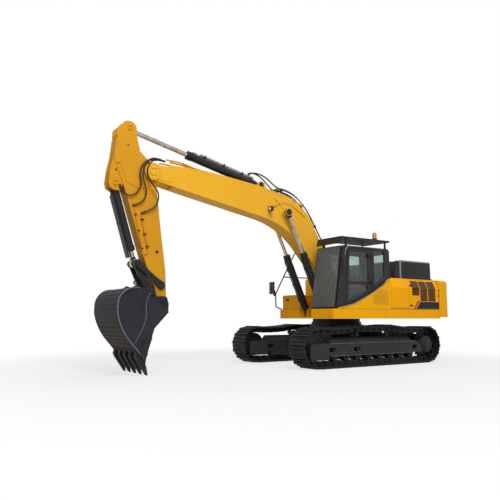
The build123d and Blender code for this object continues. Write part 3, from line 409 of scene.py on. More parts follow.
fittings, strips, guards = bmesh.new(), bmesh.new(), bmesh.new()
for turn in (1, -1):
    face = TRACK_Y + FRAME_FACE
    for x in (1.700, 1.940, 2.170):
        for z in (0.250, 0.560):
            bolt(fittings, at(x, turn * face, z), (0, turn, 0))
    for x in LUG_X:
        prism(fittings, LUG, -0.008, 0.008, Matrix.Translation(at(x, turn * (face - 0.012), 0.632)))
        # a pale strip down each lug: painted highlight
        side_plate(strips, turn, oblong(x, x + 0.012, 0.560, 0.625), face - 0.002, face + 0.0025)
    for radius, rise in ((0.207, 0.200), (0.155, 0.235)):
        for dx, dz in ring(16, radius):
            bolt(fittings, at(dx - AXLE_X, turn * (TRACK_Y + rise), AXLE_Z + dz), (0, turn, 0), 0.012)
    for swing in (0.5, 2.6, 4.2):
        cross_bar(fittings, 0.085 * math.cos(swing) - AXLE_X, AXLE_Z + 0.085 * math.sin(swing),
                  turn * (TRACK_Y + 0.250), turn * (TRACK_Y + 0.260), 0.016, 12)
    for i in range(8):
        cross_bar(fittings, -1.400 + i * 0.400, 0.444, turn * (TRACK_Y + 0.150), turn * (TRACK_Y + 0.170),
                  0.060, 20, 0.050)
    side_plate(fittings, turn, oblong(-1.520, 1.600, 0.604, 0.612), TRACK_Y + 0.204, TRACK_Y + 0.2075)
    # pale strips along the side plate's top and bottom edges: painted highlight
    for z in (0.300, 0.598):
        side_plate(strips, turn, oblong(-1.500, 1.560, z, z + 0.009), face - 0.002, face + 0.0025)
    side_plate(guards, turn, [(-2.050, 0.640), (-1.980, 0.800), (-1.700, 0.900), (-0.820, 0.900),
                              (-0.640, 0.640)], 1.092, 1.104)
    side_plate(guards, turn, oblong(-1.420, 1.520, 0.190, 0.330), TRACK_Y - 0.222, TRACK_Y - 0.214)
# paler grey than the frame, as painted highlight on the plate and lug edges
edge_painted_highlight = painted_steel("edge_painted_highlight", (0.110, 0.116, 0.124), (0.170, 0.176, 0.184), roughness=0.34,
                           edge=0.004, rubbed=0.30, dust=0.15, ceiling=1.3)
fitted("frame_painted_highlight_strips", strips, edge_painted_highlight, "undercarriage")
fitted("frame_fittings", fittings, undercarriage_paint, "undercarriage")
fitted("inner_guard_plates", guards, undercarriage_paint, "undercarriage")

# ---------------------------------------------------------------- upper structure panels
# Pressed and welded sheet steel over a plate frame, sprayed a warm amber yellow, made paler and duller
# on the boom as painted light and darker on the arm as painted shade. Panel edges are turned over and
# carry a soft highlight.
panel_paint = painted_steel("panel_paint", (0.900, 0.405, 0.003), (0.850, 0.365, 0.003), edge=0.010,
                            rubbed=0.05, dust=0.04, ceiling=2.2, scale=0.5, shine=0.06)
finish(panel_paint, "upper_frame", "counterweight", "left_housing", "right_housing", "left_side_door",
       "right_side_door", "fuel_tank", "toolbox")
# the same amber is made paler on the boom as painted light, and darker on the arm as painted shade
boom_paint_with_painted_light = painted_steel("boom_paint_with_painted_light", (0.800, 0.420, 0.030), (0.740, 0.365, 0.018), edge=0.010,
                           rubbed=0.05, dust=0.02, ceiling=2.2, scale=0.4, shine=0.06)
arm_paint_with_painted_shade = painted_steel("arm_paint_with_painted_shade", (0.600, 0.265, 0.012), (0.680, 0.320, 0.020), edge=0.010,
                          rubbed=0.08, dust=0.02, ceiling=2.2, scale=0.4, shine=0.06)
finish(boom_paint_with_painted_light, "boom")
finish(arm_paint_with_painted_shade, "arm")


def slab(bm, low, high, bevel=0.0):
    """A rectangular bar between two corners, its edges eased when bevel is given."""
    centre = (Vector(low) + Vector(high)) / 2
    size = Vector(high) - Vector(low)
    made = bmesh.ops.create_cube(bm, size=1.0, matrix=Matrix.Translation(centre) @ Matrix.Diagonal((*size, 1)))
    if bevel:
        edges = {edge for vert in made["verts"] for edge in vert.link_edges}
        bmesh.ops.bevel(bm, geom=list(edges), offset=bevel, segments=2, affect="EDGES")


# ---------------------------------------------------------------- door furniture
# Each service door hangs on three welded knuckle hinges and shuts on flush paddle latches with
# round key locks; blades over its yellow louvres and a finely checked sheet behind them are dark brown
# as painted shade.
BODY_Y = 1.500
DOOR_EDGES = {"left": (-2.650, -1.370), "right": (-2.650, -1.000)}
LOUVRES = ((-1.500, -1.810, 1.870, 2.045), (-1.840, -2.150, 1.715, 2.045), (-2.180, -2.500, 1.715, 2.045))
BLADE_PITCH = 0.045

dark_paint = painted_steel("dark_paint", (0.018, 0.017, 0.016), (0.027, 0.026, 0.024), roughness=0.36,
                           coat=0.04, rubbed=0.12, dust=0.10, ceiling=3.0, shine=0.22)

# dark brown with a fine checker, as painted shade over and behind the yellow louvres
louvre_painted_shade, tree, surface = blank_material("louvre_painted_shade")
weave = texture(tree, "TexChecker", Scale=130.0)
feed(tree, surface, {"Base Color": mixed(tree, weave, (0.060, 0.024, 0.008), (0.130, 0.052, 0.014)),
                     "Roughness": 0.8})

for side_name, turn in SIDES:
    rear, front = DOOR_EDGES[side_name]
    furniture, screen = bmesh.new(), bmesh.new()
    for z in (1.58, 2.14):
        spot = at(front - 0.075, turn * (BODY_Y + 0.003), z)
        reach = Vector((0.050, 0.004, 0.026))
        slab(furniture, spot - reach, spot + reach, 0.002)
        slab(furniture, spot + Vector((-0.034, turn * 0.001, -0.014)),
             spot + Vector((0.022, turn * 0.011, 0.014)), 0.002)
        round_bar(furniture, spot + Vector((0.036, 0, 0)), spot + Vector((0.036, turn * 0.009, 0)), 0.008, 12)
    for z in (1.60, 1.88, 2.02):
        knuckle = at(rear + 0.020, turn * (BODY_Y + 0.004), z)
        half = Vector((0, 0, 0.045))
        round_bar(furniture, knuckle - half, knuckle + half, 0.010, 10)
    for x_front, x_rear, foot, top in LOUVRES:
        low, high = sorted((turn * (BODY_Y - 0.039), turn * (BODY_Y - 0.036)))
        slab(screen, at(x_rear - 0.012, low, foot - 0.012), at(x_front + 0.012, high, top + 0.012))
        low, high = sorted((turn * (BODY_Y - 0.001), turn * (BODY_Y + 0.0035)))
        for i in range(round((top - foot) / BLADE_PITCH) + 1):
            z = foot + 0.0245 + (i - 0.5) * BLADE_PITCH
            slab(screen, at(x_rear, low, z - 0.010), at(x_front, high, z + 0.010), 0.0015)
        slab(screen, at(x_rear, low, top - 0.004), at(x_front, high, 2.070), 0.0005)
    fitted(f"{side_name}_door_furniture", furniture, dark_paint, f"{side_name}_side_door")
    fitted(f"{side_name}_louvre_painted_shade", screen, louvre_painted_shade, f"{side_name}_side_door")

# ---------------------------------------------------------------- blank name plate
# A smooth dark vinyl panel low on the service door, cut on the slant, with one orange stripe in
# front of it; it carries no words.


def toned(name, colour, shade, scale, grain, roughness, relief=0.0, metallic=0.0, shine=0.5):
    """A plain finish that drifts between two tones; relief is how much its fine skin shows."""
    material, tree, surface = blank_material(name)
    tone = grouped(tree, paint_tone, Scale=scale, Grain=grain)
    feed(tree, surface, {"Base Color": mixed(tree, tone["Tone"], colour, shade), "Roughness": roughness,
                         "Metallic": metallic, "Specular IOR Level": shine})
    if relief:
        feed(tree, surface, {"Normal": bump(tree, tone["Skin"], relief, 0.002)})
    return material


plate_vinyl = toned("plate_vinyl", (0.012, 0.009, 0.012), (0.020, 0.016, 0.020), 2.0, 400.0, 0.45, shine=0.15)
stripe_vinyl = toned("stripe_vinyl", (0.600, 0.100, 0.006), (0.520, 0.080, 0.005), 2.0, 400.0, 0.45, shine=0.15)
for side_name, turn in SIDES:
    for label, points, vinyl, slot in (
            ("name_panel", [(-1.660, 1.490), (-2.640, 1.490), (-2.640, 1.690), (-1.830, 1.690)], plate_vinyl,
             "black_paint"),
            ("stripe", [(-1.520, 1.490), (-1.630, 1.490), (-1.830, 1.725), (-1.720, 1.725)], stripe_vinyl,
             "yellow_paint")):
        film = bmesh.new()
        side_plate(film, turn, points, BODY_Y - 0.001, BODY_Y + 0.0015)
        fitted(f"{side_name}_{label}", film, vinyl, f"{side_name}_side_door")

# ---------------------------------------------------------------- cooling vent behind the cab
# Round holes punched in the housing panel behind the cab's rear pillar, cut off along a slope at the
# top; each hole is a dark disc on the panel, painted shade for its dark inside.
vent = bmesh.new()
for row in range(13):
    for column in range(22):
        x = -0.515 + column * 0.026 + (0.013 if row % 2 else 0.0)
        z = 1.600 + row * 0.030
        if z <= 1.870 - 0.48 * x:
            cross_bar(vent, x, z, BODY_Y - 0.002, BODY_Y + 0.001, 0.0075, 8)
# dark discs: painted shade of the holes
fitted("vent_painted_shade_discs", vent, dark_paint, "upper")

# ---------------------------------------------------------------- panel seams and fasteners
# Small hexagon screws hold the fixed panels and covers; larger bolts hold the counterweight, and
# two cast eyes on top of it take the shackles that lift it.
screws, seams = bmesh.new(), bmesh.new()
for turn, deck_front, columns in ((1, 1.290, (-0.80, -1.05, -1.30)), (-1, 0.860, (-0.90,))):
    for x in columns:
        for z in (1.52, 2.02):
            bolt(screws, at(x, turn * BODY_Y, z), (0, turn, 0), 0.009, 0.006)
    for x in (-2.60, -2.05, -1.50, -0.95, -0.40):
        bolt(screws, at(x, turn * BODY_Y, 1.345), (0, turn, 0), 0.012, 0.008)
    for edges in ((-0.620, -1.340, 1.495, 1.509), (-0.657, -0.663, 1.470, 1.990),
                  (deck_front, -2.680, 1.466, 1.472), (-2.677, -2.683, 1.260, 2.070)):
        side_plate(seams, turn, oblong(*edges), BODY_Y - 0.002, BODY_Y + 0.0008)
for x in (-2.75, -3.00):
    for y in (-1.05, -0.35, 0.35, 1.05):
        bolt(screws, at(x, y, 2.330), (0, 0, 1), 0.020, 0.012)
fitted("panel_screws", screws, panel_paint, "upper")
fitted("panel_gaps", seams, dark_paint, "upper")

# the louvres go on up the doors' sloped shoulders: a backing strip and five blades in each, dark brown as painted
# shade
SHOULDER_FOOT = 2.070
SLOPE = (1.500 - 1.370) / (2.330 - SHOULDER_FOOT)
for side_name, turn in SIDES:
    slots = bmesh.new()
    for x_front, x_rear, foot, top in LOUVRES:
        for z, tall, lift in [(2.071, 0.199, 0.0012)] + [(z, 0.018, 0.005) for z in
                                                         (2.095, 2.135, 2.175, 2.215, 2.250)]:
            corners = []
            for height, proud in ((z, lift), (z + tall, lift), (z + tall, -0.003), (z, -0.003)):
                corners.append((turn * (BODY_Y - (height - SHOULDER_FOOT) * SLOPE + proud), height + proud * SLOPE))
            ends = [[slots.verts.new(at(x, y, height)) for y, height in corners] for x in (x_rear, x_front)]
            slots.faces.new(ends[0])
            slots.faces.new(ends[1][::-1])
            for i in range(4):
                j = (i + 1) % 4
                slots.faces.new((ends[0][i], ends[1][i], ends[1][j], ends[0][j]))
    fitted(f"{side_name}_shoulder_slots", slots, louvre_painted_shade, f"{side_name}_side_door")

eyes = bmesh.new()
for y in (-0.95, 0.95):
    for cheek in (y - 0.045, y + 0.045):
        slab(eyes, at(-3.00, cheek - 0.012, 2.325), at(-2.90, cheek + 0.012, 2.405), 0.006)
    cross_bar(eyes, -2.95, 2.385, y - 0.062, y + 0.062, 0.017, 14)
fitted("counterweight_eyes", eyes, dark_paint, "upper")

# ---------------------------------------------------------------- anti-slip treads
# Punched steel treads bolted along the tank, the toolbox and the housing roofs, dimpled so that
# boots grip, and sprayed dark grey; the raised dimples are coloured paler as painted highlight.
tread_paint, tree, surface = blank_material("tread_paint")
raised = ramp(tree, texture(tree, "TexVoronoi", "Distance", Scale=26.0, Randomness=0.0), 0.42, 0.25)
feed(tree, surface, {"Base Color": mixed(tree, raised, (0.030, 0.030, 0.031), (0.085, 0.083, 0.080)),
                     "Roughness": 0.62, "Normal": bump(tree, raised, 0.8, 0.006)})
treads = bmesh.new()
for x_low, x_high, y_low, y_high, z in ((-0.78, -0.15, -1.38, -0.72, 2.430), (-0.02, 0.72, -1.38, -0.72, 1.900),
                                        (-1.20, -0.70, 0.50, 1.28, 2.330), (-1.20, -0.90, -1.28, -0.45, 2.330),
                                        (-2.62, -1.30, 1.19, 1.34, 2.330)):
    slab(treads, at(x_low, y_low, z + 0.001), at(x_high, y_high, z + 0.006), 0.002)
    for x in (x_low + 0.04, x_high - 0.04):
        for y in (y_low + 0.04, y_high - 0.04):
            bolt(treads, at(x, y, z + 0.006), (0, 0, 1), 0.010, 0.005)
fitted("anti_slip_treads", treads, tread_paint, "upper")

# ---------------------------------------------------------------- tank and toolbox fittings
# The fuel filler has a locking cap under a hood; the toolbox lid opens on two strap hinges and is
# pulled up by a recessed handle in its front.
fittings, lid_seam = bmesh.new(), bmesh.new()
for foot, top, radius in ((2.436, 2.462, 0.075), (2.462, 2.476, 0.052)):
    round_bar(fittings, at(-0.25, -1.10, foot), at(-0.25, -1.10, top), radius, 24)
slab(fittings, at(0.788, -1.31, 1.735), at(0.796, -1.15, 1.800), 0.002)
slab(fittings, at(0.796, -1.29, 1.758), at(0.806, -1.17, 1.776), 0.003)
for y in (-1.35, -0.80):
    cross_bar(fittings, -0.062, 1.905, y - 0.05, y + 0.05, 0.011, 10)
fitted("store_fittings", fittings, dark_paint, "upper")
for z in (1.838, 1.500):
    slab(lid_seam, at(-0.060, -1.4962, z), at(0.7915, -0.604, z + 0.006))
fitted("toolbox_seams", lid_seam, dark_paint, "upper")

# ---------------------------------------------------------------- engine hood
# A folded steel cover over the engine, sprayed charcoal; its sides are pressed with stiffening
# ribs, pale strips on its top and front corners are painted highlights, and it lifts at the rear
# on gas struts.
hood_paint = painted_steel("hood_paint", (0.016, 0.013, 0.014), (0.024, 0.020, 0.021), roughness=0.30,
                           coat=0.03, edge=0.020, rubbed=0.05, dust=0.08, shine=0.16)
finish(hood_paint, "engine_hood")
ribs, trims = bmesh.new(), bmesh.new()
for turn, half in ((1, 1.150), (-1, 0.900)):
    for z in (2.350, 2.520, 2.640, 2.760):
        side_plate(ribs, turn, oblong(-1.48, -2.70, z, z + 0.012), half - 0.002, half + 0.006)
    for edges in ((-1.405, -2.715, 2.845, 2.882), (-1.405, -1.470, 2.350, 2.845)):
        side_plate(trims, turn, oblong(*edges), half - 0.002, half + 0.006)
for x in (-1.55, -2.55):
    slab(ribs, at(x - 0.02, 0.62, 2.888), at(x + 0.02, 0.66, 2.900), 0.004)
fitted("hood_ribs", ribs, hood_paint, "engine_hood")
# pale grey with a glossy coat: painted highlight along the hood's corners and the cab's pillar, roof edge and sill
trim_painted_highlight = painted_steel("trim_painted_highlight", (0.170, 0.180, 0.200), (0.220, 0.235, 0.255), roughness=0.24,
                           coat=0.20, shine=0.50)
fitted("hood_corner_painted_highlights", trims, trim_painted_highlight, "engine_hood")

# ---------------------------------------------------------------- handrail and mirrors
# Bent steel pipe with flattened ends bolted to the toolbox and the tank, and a mirror in a
# moulded shell on a thin arm; mirrors are silvered glass.
finish(dark_paint, "handrail", "mirror", "engine_block")
mirror_silver = toned("mirror_silver", (0.72, 0.74, 0.76), (0.64, 0.66, 0.68), 3.0, 300.0, 0.06, metallic=1.0)

# ---------------------------------------------------------------- cab frame
# Pressed steel posts and rails welded into a safety cell and sprayed satin black; the door hangs
# on two hinges at its rear edge and closes on rubber.
CAB_SIDE = 1.450
UPPER_PANE = ((0.895, 2.185), (0.842, 2.970), (0.150, 2.970), (0.150, 2.185))
LOWER_PANE = ((0.925, 1.680), (0.897, 2.105), (0.190, 2.105), (0.190, 1.965), (0.560, 1.780))
QUARTER_PANE = ((-0.050, 3.030), (-0.480, 3.030), (-0.480, 2.340), (-0.050, 2.060))
REAR_PANE = oblong(0.650, 1.320, 2.420, 2.980)
SIDE_PANE = oblong(-0.450, 0.900, 2.050, 2.980)

cab_paint = painted_steel("cab_paint", (0.018, 0.016, 0.015), (0.026, 0.023, 0.022), roughness=0.30,
                          coat=0.03, edge=0.012, shine=0.16)
finish(cab_paint, "cab_shell", "cab_door", "roof_guard")


def neighbours(points):
    """Each point of a closed outline with those before and after it."""
    return zip(points[-1:] + points[:-1], points, points[1:] + points[:1])


def inset_outline(points, depth):
    """The outline moved inward by depth, edge by edge."""
    points = [Vector(point) for point in points]
    area = sum(a.x * b.y - b.x * a.y for a, b in zip(points, points[1:] + points[:1]))
    turn = math.copysign(1, area)
    moved = []
    for before, here, after in neighbours(points):
        first, second = (here - before).normalized(), (after - here).normalized()
        first_in, second_in = Vector((-first.y, first.x)) * turn, Vector((-second.y, second.x)) * turn
        moved.append(here + (first_in + second_in) * depth / (1 + first_in.dot(second_in)))
    return moved


def rounded(points, radius, steps=5):
    """The outline with its corners turned on arcs."""
    smooth = []
    for before, here, after in neighbours([Vector(point) for point in points]):
        start = here + (before - here).normalized() * radius
        end = here + (after - here).normalized() * radius
        for i in range(steps + 1):
            t = i / steps
            smooth.append(start * (1 - t) ** 2 + here * 2 * t * (1 - t) + end * t * t)
    return smooth


def frame_band(bm, outer, inner, low, high, lay):
    """A flat ring between two outlines with as many points, as thick as low to high."""
    rings = [[bm.verts.new(lay(point, level)) for point in outline] for outline, level in
             ((outer, low), (outer, high), (inner, high), (inner, low))]
    for ring_a, ring_b in zip(rings, rings[1:] + rings[:1]):
        for i in range(len(outer)):
            j = (i + 1) % len(outer)
            bm.faces.new((ring_a[i], ring_a[j], ring_b[j], ring_b[i]))


def on_side(point, y):
    return at(point[0], y, point[1])


def on_rear(point, x):
    return at(x, *point)


# ---------------------------------------------------------------- window rubbers
# Extruded rubber channel that holds the glass, pressed round the edge of each opening. It is
# joined at the bottom and stands a little proud of the steel.
seal_rubber = toned("seal_rubber", (0.010, 0.010, 0.010), (0.018, 0.018, 0.018), 4.0, 350.0, 0.62, relief=0.2)
door_seals, cab_seals = bmesh.new(), bmesh.new()
for bm, pane, radius, lip, low, high, lay in (
        (door_seals, UPPER_PANE, 0.060, 0.016, CAB_SIDE - 0.024, CAB_SIDE + 0.012, on_side),
        (door_seals, LOWER_PANE, 0.040, 0.016, CAB_SIDE - 0.024, CAB_SIDE + 0.012, on_side),
        (cab_seals, QUARTER_PANE, 0.050, 0.016, CAB_SIDE - 0.030, CAB_SIDE + 0.006, on_side),
        (cab_seals, SIDE_PANE, 0.060, 0.014, 0.509, 0.540, on_side),
        (cab_seals, REAR_PANE, 0.060, 0.014, -0.666, -0.635, on_rear)):
    outer = rounded(inset_outline(pane, -lip), radius + lip)
    inner = rounded(inset_outline(pane, 0.010), radius - 0.010)
    frame_band(bm, outer, inner, low, high, lay)
fitted("door_window_rubbers", door_seals, seal_rubber, "cab_door")
fitted("cab_window_rubbers", cab_seals, seal_rubber, "upper")

# ---------------------------------------------------------------- window glass
# Flat toughened glass with a light green tint, 8 mm thick, with a little dust on it. Lamp light
# passes straight through.
pane_glass, tree, surface = blank_material("pane_glass")
tone = grouped(tree, paint_tone, Scale=1.6, Grain=60.0)
feed(tree, surface, {"Base Color": mixed(tree, tone["Tone"], (0.60, 0.72, 0.70), (0.52, 0.64, 0.62)),
                     "Roughness": maths(tree, "MULTIPLY", tone["Tone"], 0.05),
                     "Transmission Weight": 1.0, "IOR": 1.45})
through = step(tree, "BsdfTransparent", {"Color": (0.72, 0.80, 0.78)})
lamp_ray = step(tree, "LightPath").outputs["Is Shadow Ray"]
passing = step(tree, "MixShader", {0: lamp_ray, 1: surface.outputs[0], 2: through.outputs[0]})
feed(tree, tree.nodes["Material Output"], {"Surface": passing.outputs[0]})
finish(pane_glass, "cab_glass", "cab_door_glass")

# ---------------------------------------------------------------- door handle and grab rail
# A die-cast paddle handle with a key lock between the two panes, and a bent tube rail on the
# front post to climb in by.
handle = bmesh.new()
slab(handle, at(0.730, CAB_SIDE + 0.004, 2.118), at(0.880, CAB_SIDE + 0.010, 2.172), 0.003)
slab(handle, at(0.748, CAB_SIDE + 0.016, 2.130), at(0.862, CAB_SIDE + 0.026, 2.156), 0.004)
for x in (0.756, 0.854):
    cross_bar(handle, x, 2.143, CAB_SIDE + 0.008, CAB_SIDE + 0.020, 0.008, 10)
cross_bar(handle, 0.715, 2.145, CAB_SIDE + 0.005, CAB_SIDE + 0.014, 0.013)
for z in (2.180, 2.880):
    round_bar(handle, at(0.040, 1.520, z - 0.045), at(0.040, 1.520, z + 0.045), 0.013, 14)
    for x in (0.085, 0.115):
        bolt(handle, at(x, 1.540, z), (0, 1, 0), 0.008, 0.005)
fitted("door_handle", handle, dark_paint, "cab_door")


def swept(name, routes, resolution=5, capped=True):
    """Pipes or hoses as one mesh; each route is (radius, points from the slewing axis)."""
    line = bpy.data.curves.new(name, "CURVE")
    line.dimensions, line.bevel_depth, line.bevel_resolution = "3D", 1.0, 3
    line.resolution_u, line.use_fill_caps = resolution, capped
    for radius, points in routes:
        spline = line.splines.new("NURBS")
        spline.points.add(len(points) - 1)
        for knot, spot in zip(spline.points, points):
            knot.co = (*at(*spot), 1)
            knot.radius = radius
        spline.order_u = 3
        spline.use_endpoint_u = True
    holder = bpy.data.objects.new(name, line)
    mesh = bpy.data.meshes.new_from_object(holder)
    bpy.data.objects.remove(holder)
    return mesh


def tubes(name, routes, material, body):
    """Pipes or hoses as one piece that rides on a body."""
    return placed(name, swept(name, routes), material, body)


tubes("grab_rail", [(0.012, [(1.045, 1.440, 2.985), (1.085, 1.490, 2.985), (1.115, 1.492, 2.900),
                             (1.190, 1.492, 2.450), (1.205, 1.492, 2.330), (1.160, 1.440, 2.330)])],
      dark_paint, "upper")

# ---------------------------------------------------------------- seat
# A sprung seat: foam cushions with sewn channels under dark grey woven cloth, on a steel box
# whose rubber bellows hides the spring.
seat_cloth, tree, surface = blank_material("seat_cloth")
place = step(tree, "TexCoord").outputs["Object"]
warp = texture(tree, "TexWave", bands="Y", Vector=place, Scale=160.0)
weft = texture(tree, "TexWave", bands="DIAGONAL", Vector=place, Scale=160.0)
weave = maths(tree, "MULTIPLY", warp, weft)
feed(tree, surface, {"Base Color": mixed(tree, weave, (0.030, 0.031, 0.034), (0.075, 0.076, 0.080)),
                     "Roughness": 0.88, "Sheen Weight": 0.25, "Normal": bump(tree, weave, 0.4, 0.002)})


def cushion(name, middle, size, lean, channels):
    """A crowned foam pad: sides pulled in between the corners, sewn channels across its face."""
    bm = bmesh.new()
    bmesh.ops.create_cube(bm, size=2.0)
    bmesh.ops.subdivide_edges(bm, edges=bm.edges[:], cuts=15, use_grid_fill=True)
    turn = Matrix.Translation(at(*middle)) @ Matrix.Rotation(math.radians(lean), 4, "Y")
    for vert in bm.verts:
        x, y, z = vert.co
        form = vert.co / (x ** 6 + y ** 6 + z ** 6) ** (1 / 6)
        crown = 1 + 0.16 * (1 - x * x) * (1 - y * y)
        sewn = 0.10 * (math.cos(y * math.pi * channels) ** 8) * (1 - x ** 4) if z > 0 else 0.0
        form.z *= crown - sewn
        vert.co = turn @ (form * Vector(size) / 2)
    pad = fitted(name, bm, seat_cloth, "upper", 1.2)
    return pad


seat_pad = cushion("seat_cushion", (0.030, 0.985, 1.920), (0.500, 0.480, 0.115), 0.0, 3)
cushion("seat_back", (-0.245, 0.985, 2.290), (0.600, 0.460, 0.095), -98.5, 3)
cushion("seat_head_rest", (-0.315, 0.985, 2.690), (0.170, 0.250, 0.080), -98.5, 1)
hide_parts("seat")
seat_base = bmesh.new()
slab(seat_base, at(-0.150, 0.800, 1.531), at(0.230, 1.170, 1.580), 0.008)
for i in range(5):
    grow = 0.012 if i % 2 else 0.0
    slab(seat_base, at(-0.120 - grow, 0.825 - grow, 1.580 + i * 0.048),
         at(0.200 + grow, 1.145 + grow, 1.630 + i * 0.048), 0.008)
slab(seat_base, at(-0.215, 0.760, 1.822), at(0.275, 1.210, 1.868), 0.012)
slab(seat_base, at(-0.300, 0.930, 2.560), at(-0.285, 1.040, 2.660), 0.003)
fitted("seat_base", seat_base, seal_rubber, "upper")

# ---------------------------------------------------------------- controls and floor
# Moulded grey consoles with a joystick on each, travel pedals with levers in front, a monitor on
# the right post and a ribbed rubber mat.


def ribbed(name, scale, bands, low, high, roughness, strength, depth, **more):
    """A moulded finish of straight ribs, coloured from low in the grooves, as painted shade, to high on the
    ribs, as painted highlight.
    """
    material, tree, surface = blank_material(name)
    ribs = texture(tree, "TexWave", bands=bands, Scale=scale)
    feed(tree, surface, {"Base Color": mixed(tree, ribs, low, high), "Roughness": roughness,
                         "Normal": bump(tree, ribs, strength, depth)})
    feed(tree, surface, {key.replace("_", " "): value for key, value in more.items()})
    return material


moulding = toned("moulding", (0.050, 0.050, 0.052), (0.066, 0.066, 0.066), 2.5, 520.0, 0.55, relief=0.3)
finish(moulding, "controls")
finish(ribbed("floor_mat", 22.0, "X", (0.014, 0.014, 0.014), (0.030, 0.030, 0.030), 0.75, 0.5, 0.004), "cab_floor")
monitor = bmesh.new()
slab(monitor, at(0.905, 0.610, 2.120), at(0.935, 0.800, 2.270), 0.010)
round_bar(monitor, at(0.930, 0.640, 2.000), at(0.925, 0.660, 2.130), 0.012, 12)
for y in (0.6625, 1.3075):
    bmesh.ops.create_uvsphere(monitor, u_segments=14, v_segments=8, radius=0.030,
                              matrix=Matrix.Translation(at(0.268, y, 2.235)) @ Matrix.Diagonal((0.9, 0.9, 1.4, 1)))
fitted("monitor_and_knobs", monitor, moulding, "upper")

# ---------------------------------------------------------------- front guard, wiper and roof
# Round-edged steel bars welded in a frame that bolts on in front of the windscreen; a wiper
# sweeps behind it, and a hatch is let into the roof under the overhead guard.
guard_paint = painted_steel("guard_paint", (0.022, 0.021, 0.020), (0.032, 0.030, 0.028), roughness=0.38,
                            coat=0.04, edge=0.005, rubbed=0.25, dust=0.12)
finish(guard_paint, "front_guard")
# the bars are pale beige-grey as painted highlight; the frame round them is black
bar_painted_highlight = painted_steel("bar_painted_highlight", (0.150, 0.143, 0.126), (0.210, 0.200, 0.178), roughness=0.36,
                          coat=0.04, edge=0.004, rubbed=0.25, dust=0.12, shine=0.40)
SCREEN_FOOT = (1.320, 1.480)
RAKE = (SCREEN_FOOT[0] - 1.060) / (3.110 - SCREEN_FOOT[1])
CAB_MIDDLE = 0.985
GUARD_MIDDLE = 2.300


def on_front(y, z, proud):
    """A place on the cab's raked front, proud of it."""
    return at(SCREEN_FOOT[0] - (z - SCREEN_FOOT[1]) * RAKE + proud, y, z)


wiper, guard_bars, guard_bolts = bmesh.new(), bmesh.new(), bmesh.new()
round_bar(wiper, on_front(CAB_MIDDLE, 1.570, 0.002), on_front(0.860, 2.150, -0.012), 0.007, 8)
round_bar(wiper, on_front(0.860, 1.850, -0.016), on_front(0.860, 2.500, -0.016), 0.006, 8)
round_bar(wiper, on_front(CAB_MIDDLE, 1.570, -0.012), on_front(CAB_MIDDLE, 1.570, 0.014), 0.022, 14)
slab(wiper, at(-0.250, 0.700, 3.108), at(0.450, 1.270, 3.122), 0.006)
fitted("wiper_and_hatch", wiper, dark_paint, "upper")
for i in range(14):
    y = CAB_MIDDLE - 0.403 + i * 0.062
    round_bar(guard_bars, on_front(y, GUARD_MIDDLE - 0.775, 0.058), on_front(y, GUARD_MIDDLE + 0.775, 0.058), 0.009, 8)
for z in (GUARD_MIDDLE - 0.430, GUARD_MIDDLE, GUARD_MIDDLE + 0.430):
    round_bar(guard_bars, on_front(0.560, z, 0.050), on_front(1.410, z, 0.050), 0.013, 10)
fitted("guard_bars", guard_bars, bar_painted_highlight, "upper")
for z in (1.56, 2.30, 3.04):
    for y in (0.548, 1.422):
        bolt(guard_bolts, on_front(y, z, 0.063), (1, 0, RAKE), 0.011, 0.008)
fitted("guard_bolts", guard_bolts, guard_paint, "upper")

# ---------------------------------------------------------------- beacon
# A ribbed amber polycarbonate dome over a turning lamp. The dome is screwed to a round black
# foot, which is bolted to the cab.
finish(ribbed("beacon_lens", 30.0, "Z", (0.52, 0.20, 0.018), (0.76, 0.33, 0.050), 0.18, 0.5, 0.004,
              Transmission_Weight=0.25), "beacon")
beacon_low, beacon_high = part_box("beacon")
beacon_foot = bmesh.new()
beacon_mid = ((beacon_low[0] + beacon_high[0]) / 2, (beacon_low[1] + beacon_high[1]) / 2)
round_bar(beacon_foot, (*beacon_mid, beacon_low[2] - 0.004), (*beacon_mid, beacon_low[2] + 0.045), 0.072, 28, 0.066)
fitted("beacon_foot", beacon_foot, dark_paint, "upper")

# ---------------------------------------------------------------- painted highlights on the cab's edges, and cab mirror
# Pale round strips run down the front pillar, back along the roof's edge over the door and along the
# sill: painted highlights on those edges. A tall convex mirror in a black shell hangs off the pillar
# on two short brackets.
tubes("pillar_roof_painted_highlight", [(0.011, [(1.014, 1.460, 2.600), (1.004, 1.460, 2.860), (0.975, 1.460, 3.010),
                               (0.900, 1.460, 3.082), (0.780, 1.460, 3.096), (0.300, 1.460, 3.100),
                               (-0.420, 1.460, 3.100)])], trim_painted_highlight, "upper")
tubes("sill_painted_highlight", [(0.010, [(1.180, 1.505, 1.500), (1.000, 1.505, 1.535), (0.700, 1.505, 1.620),
                               (0.300, 1.505, 1.790), (-0.100, 1.505, 1.985), (-0.560, 1.505, 2.250)])],
      trim_painted_highlight, "upper")
turned = Matrix.Translation((SLEW, 0, 0)) @ Matrix.Rotation(math.pi / 2, 4, "Z")
shell, silvered = bmesh.new(), bmesh.new()
prism(shell, rounded(oblong(1.474, 1.590, 2.520, 2.870), 0.045), -1.150, -1.116, turned)
prism(silvered, rounded(oblong(1.482, 1.582, 2.528, 2.862), 0.040), -1.118, -1.113, turned)
for z in (2.590, 2.800):
    round_bar(shell, at(1.075, 1.440, z), at(1.130, 1.490, z), 0.010, 10)
fitted("cab_mirror_shell", shell, dark_paint, "upper")
fitted("cab_mirror_glass", silvered, mirror_silver, "upper")

# ---------------------------------------------------------------- boom
# A welded box of steel plate, bent at the knee. Doubler plates spread the load round the
# cylinder pins, and castings carry the foot and the nose.
BOOM_HALF = 0.220
NOSE = (5.820, 4.610)


